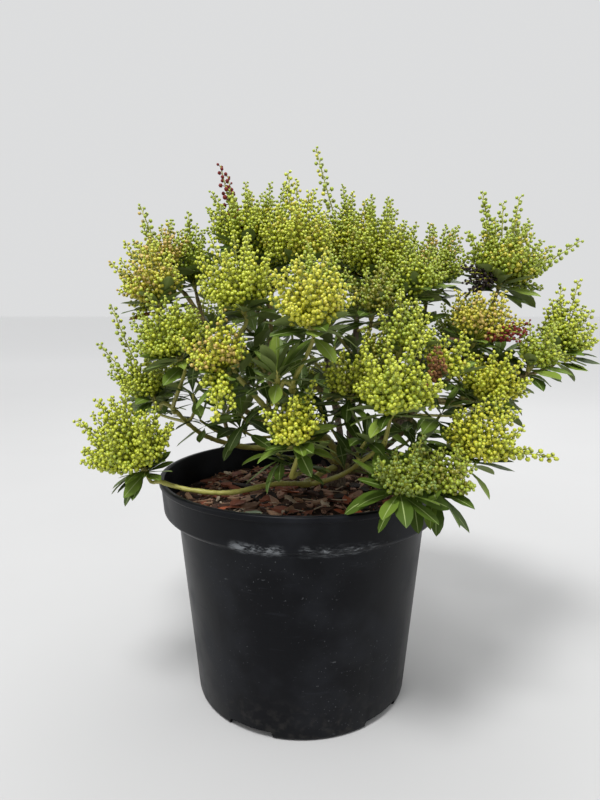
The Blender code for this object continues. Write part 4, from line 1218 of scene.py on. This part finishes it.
class Panicles:
    """The stalks, pedicels and buds of one mass, gathered as arrays."""

    def __init__(self, name):
        self.name, self.stalks, self.buds = name, [], []

    def raceme(self, root, way, length, tints, dice, size=1.0, bare=BARE_SHARE, step=BUD_STEP):
        """One raceme: its stalk, and its buds in a spiral from the bare foot to the tip."""
        self.stalks.append(raceme_line(root, way, length, np.linspace(0.0, 1.0, STALK_POINTS)))
        count = max(5, int(length * (1.0 - bare) / step))
        marks = bare + (1.0 - bare) * (np.arange(count) + 0.5) / count
        line = np.array(raceme_line(root, way, length, marks))
        along = unit(np.array(raceme_line(root, way, length, np.minimum(marks + 0.02, 1.02))) - line)
        side = unit(np.cross(along, np.array([[0.31, 0.22, 0.92]])))
        other = np.cross(along, side)
        turn = np.arange(count) * GOLDEN_ANGLE + dice.uniform(0.0, 6.28) + dice.normal(0.0, 0.16, count)
        young = (marks - bare) / (1.0 - bare)
        out = np.cos(turn)[:, None] * side + np.sin(turn)[:, None] * other
        out = unit(out + along * (0.35 + 0.75 * young[:, None] ** 3))
        sag = np.array([[0.0, 0.0, -0.62]]) * (1.0 - 0.8 * young[:, None] ** 2)
        hang = unit(out * 0.9 + along * 0.1 + sag)
        sizes = BUD_SIZE * (size * (1.0 - 0.34 * young ** 4) * dice.uniform(0.88, 1.10, count))
        reaches = PEDICEL * (1.0 - 0.45 * young ** 2) * dice.uniform(0.85, 1.12, count) * size
        main, second, tips = tints
        chance = dice.uniform(0.0, 1.0, count)
        tint = np.where(chance < 0.86, main, second)
        tint = np.where((young > 0.72) & (chance < 0.75), tips, tint)
        self.buds.append((line, out, hang, sizes, reaches, tint))

    def make(self):
        """The mass's stalks with pedicels, and its buds, as two pieces."""
        spots, outs, hangs, sizes, reaches, tints = map(np.concatenate, zip(*self.buds))
        stems, buds = Batch(), Batch()
        taper = np.linspace(STALK_RADIUS, STALK_TIP_RADIUS, STALK_POINTS)
        points, triangles = tubes(self.stalks, np.tile(taper, (len(self.stalks), 1)), 4)
        stems.add(points, triangles, np.zeros(len(self.stalks), dtype=int))
        ends = spots + outs * (reaches * 0.62)[:, None] + hangs * (reaches * 0.42)[:, None]
        thick = np.tile([PEDICEL_RADIUS, PEDICEL_RADIUS * 1.4], (len(spots), 1))
        points, triangles = tubes(np.stack([spots, ends], axis=1), thick, 3, capped=False)
        dark = np.isin(tints, (BROWN, WINE, DRY))
        stems.add(points, triangles, np.where(dark, 2, np.where(np.isin(tints, (BLUSH, GOLD)), 1, 0)))
        stems.make(self.name + "_stalks", stalk_finishes, "foliage", [self.name + "_foliage"])
        side = unit(np.cross(hangs, np.array([[0.53, 0.41, 0.74]])))
        axes = side, np.cross(hangs, side), hangs
        scale = np.repeat(sizes[:, None], 3, axis=1)
        points = dealt(bud_points, ends - hangs * (sizes * 0.06)[:, None], axes, scale)
        slots = np.where(bud_calyx[None], np.where(dark, tints, CALYX)[:, None], tints[:, None])
        buds.add(points, bud_triangles, slots)
        buds.make(self.name + "_buds", bud_finishes, "foliage", [self.name + "_foliage"])


def make_panicles(name):
    """Every raceme of one mass."""
    panicles = Panicles(name)
    for head in (head for head in heads if head.bough == name):
        main, second, tips = (BUD_LETTERS.index(letter) for letter in head.tints)
        dice = np.random.default_rng([ord(letter) for letter in head.key])
        root = head.foot + head.axis * TWIG_RADIUS
        for way, length, rank in clear_racemes(head):
            if rank == "spike":
                tints = (WINE,) * 3 if head.key == "top_left 1" else (tips, main, tips)
                panicles.raceme(root, way, length, tints, dice, SPIKE_SIZE, step=SPIKE_STEP)
                continue
            bare = INNER_SHARE if rank == "fine" else BARE_SHARE
            swapped = rank == "fine" and dice.uniform() < SWAPPED_SHARE
            tints = (second, main, tips) if swapped else (main, second, tips)
            panicles.raceme(root, way, length, tints, dice, bare=bare)
        for tip in NODDING.get(head.key, ()):
            reach = at(*tip) - root
            panicles.raceme(root, reach.normalized(), reach.length, (tips, main, tips), dice)
        tint, dry_tips = DRY_RACEMES.get(head.key, (DRY, ()))
        for tip in dry_tips:
            reach = at(*tip) - root
            panicles.raceme(root, reach.normalized(), reach.length, (tint,) * 3, dice,
                            DRY_SIZE, DRY_BARE, DRY_STEP)
    panicles.make()


for name in HEADS:
    make_panicles(name)

# The fallen leaves
# Last year's leaves lie on the mulch, mostly at the front of the pot: leathery, curled, and turned
# orange, russet and grey-green. They are shaped like those on the plant.
FALLEN = 46
FALLEN_COLOURS = {
    "fallen_orange": (0.36, 0.085, 0.028), "fallen_russet": (0.20, 0.060, 0.030),
    "fallen_tan": (0.30, 0.17, 0.105), "fallen_grey": (0.16, 0.20, 0.13),
    "fallen_dark": (0.060, 0.030, 0.020)}
FALLEN_SHARES = (0.22, 0.30, 0.24, 0.06, 0.18)


def make_fallen():
    """Dead leaves strewn over the mulch."""
    dice = np.random.default_rng(7)
    places = strewn(dice, FALLEN, MULCH_RADIUS - 0.022, 0.002)
    front = dice.uniform(0.0, 1.0, FALLEN) < 0.55
    places[front, 1] = -np.abs(places[front, 1]) * 0.35 - 0.060
    places[front, 0] *= 0.75
    places[:, 2] = soil_height(places[:, 0], places[:, 1]) + dice.uniform(0.003, 0.0065, FALLEN)
    axes = flat_axes(dice, FALLEN, 0.20)
    tints = dice.choice(len(FALLEN_COLOURS), FALLEN, p=FALLEN_SHARES)
    batch = Batch()
    habits = dice.choice(len(leaf_shapes), FALLEN)
    for habit, (pattern, triangles, _) in enumerate(leaf_shapes):
        own = habits == habit
        length = dice.uniform(0.016, 0.034, own.sum())
        sizes = np.stack([length, length * dice.uniform(0.9, 1.5, own.sum()), length], axis=1)
        points = dealt(pattern - [[0.5, 0.0, 0.0]], places[own], [axis[own] for axis in axes], sizes)
        batch.add(points, triangles, tints[own])
    finishes = []
    for name, colour in FALLEN_COLOURS.items():
        finish = Finish(name, Base_Color=colour, Roughness=0.6, Specular_IOR_Level=0.35)
        finish.relief(finish.noise(600.0), 0.0004)
        finishes.append(finish)
    batch.make("fallen_leaves", finishes, "compost", sharp=60)


make_fallen()

# The studio
# A pale floor under soft, even daylight: one broad light high in front, one on each side that draws
# the sheen of the pot, and a pale room all round. The camera stands where the photograph was taken.
FLOOR_SIZE = 60.0
FLOOR_MIDDLE, FLOOR_NEAR, FLOOR_FAR = (-0.3, -0.7, 0.0), 0.4, 4.6
LIGHTS = (("high_front", (-0.35, -0.9, 2.1), 0.55, 41.0), ("left", (-1.7, -0.2, 0.8), 1.2, 6.0),
          ("right", (1.8, -0.4, 0.9), 1.2, 5.0), ("over_back", (0.4, 1.2, 1.8), 1.2, 12.0))
CAMERA_PLACE, CAMERA_DOWN, CAMERA_LENS = (-0.0013, -0.548, 0.354), 8.57, 27.0


def make_studio():
    """The floor, the lights, the room's own light and the camera."""
    bpy.ops.mesh.primitive_plane_add(size=FLOOR_SIZE)
    floor = bpy.context.object
    floor.name = "studio_floor"
    paper = Finish("studio_paper", Roughness=0.9, Specular_IOR_Level=0.2)
    # Painted light: the floor's colour grows paler with distance from a point in front of the pot. This
    # stands in for even light where the lamps' light falls off, so the floor fades into the pale room.
    reach = paper.node("VectorMath", {"operation": "DISTANCE"}, {0: paper.here(), 1: FLOOR_MIDDLE}, "Value")
    near = paper.mix(paper.noise(3.0), (0.46, 0.46, 0.46), (0.50, 0.50, 0.50))
    paper.set(Base_Color=paper.mix(paper.fade(reach, FLOOR_NEAR, FLOOR_FAR), near, (0.92, 0.92, 0.92)))
    floor.data.materials.append(paper.material)
    for name, place, size, power in LIGHTS:
        bpy.ops.object.light_add(type="AREA", location=place)
        light = bpy.context.object
        light.name = name
        light.data.size = size
        light.data.energy = power
        light.rotation_euler = (at(0, 0, 260) - Vector(place)).to_track_quat("-Z", "Y").to_euler()
    world = bpy.data.worlds.new("room")
    bpy.context.scene.world = world
    world.use_nodes = True
    world.node_tree.nodes["Background"].inputs["Color"].default_value = (0.72, 0.725, 0.73, 1.0)
    world.node_tree.nodes["Background"].inputs["Strength"].default_value = 1.0
    bpy.ops.object.camera_add(location=CAMERA_PLACE, rotation=(radians(90.0 - CAMERA_DOWN), 0.0, 0.0))
    camera = bpy.context.object
    camera.name = "camera"
    camera.data.lens = CAMERA_LENS
    camera.data.sensor_width = 36.0
    camera.data.clip_start = 0.02
    bpy.context.scene.camera = camera
    bpy.context.scene.view_settings.view_transform = "Standard"


make_studio()
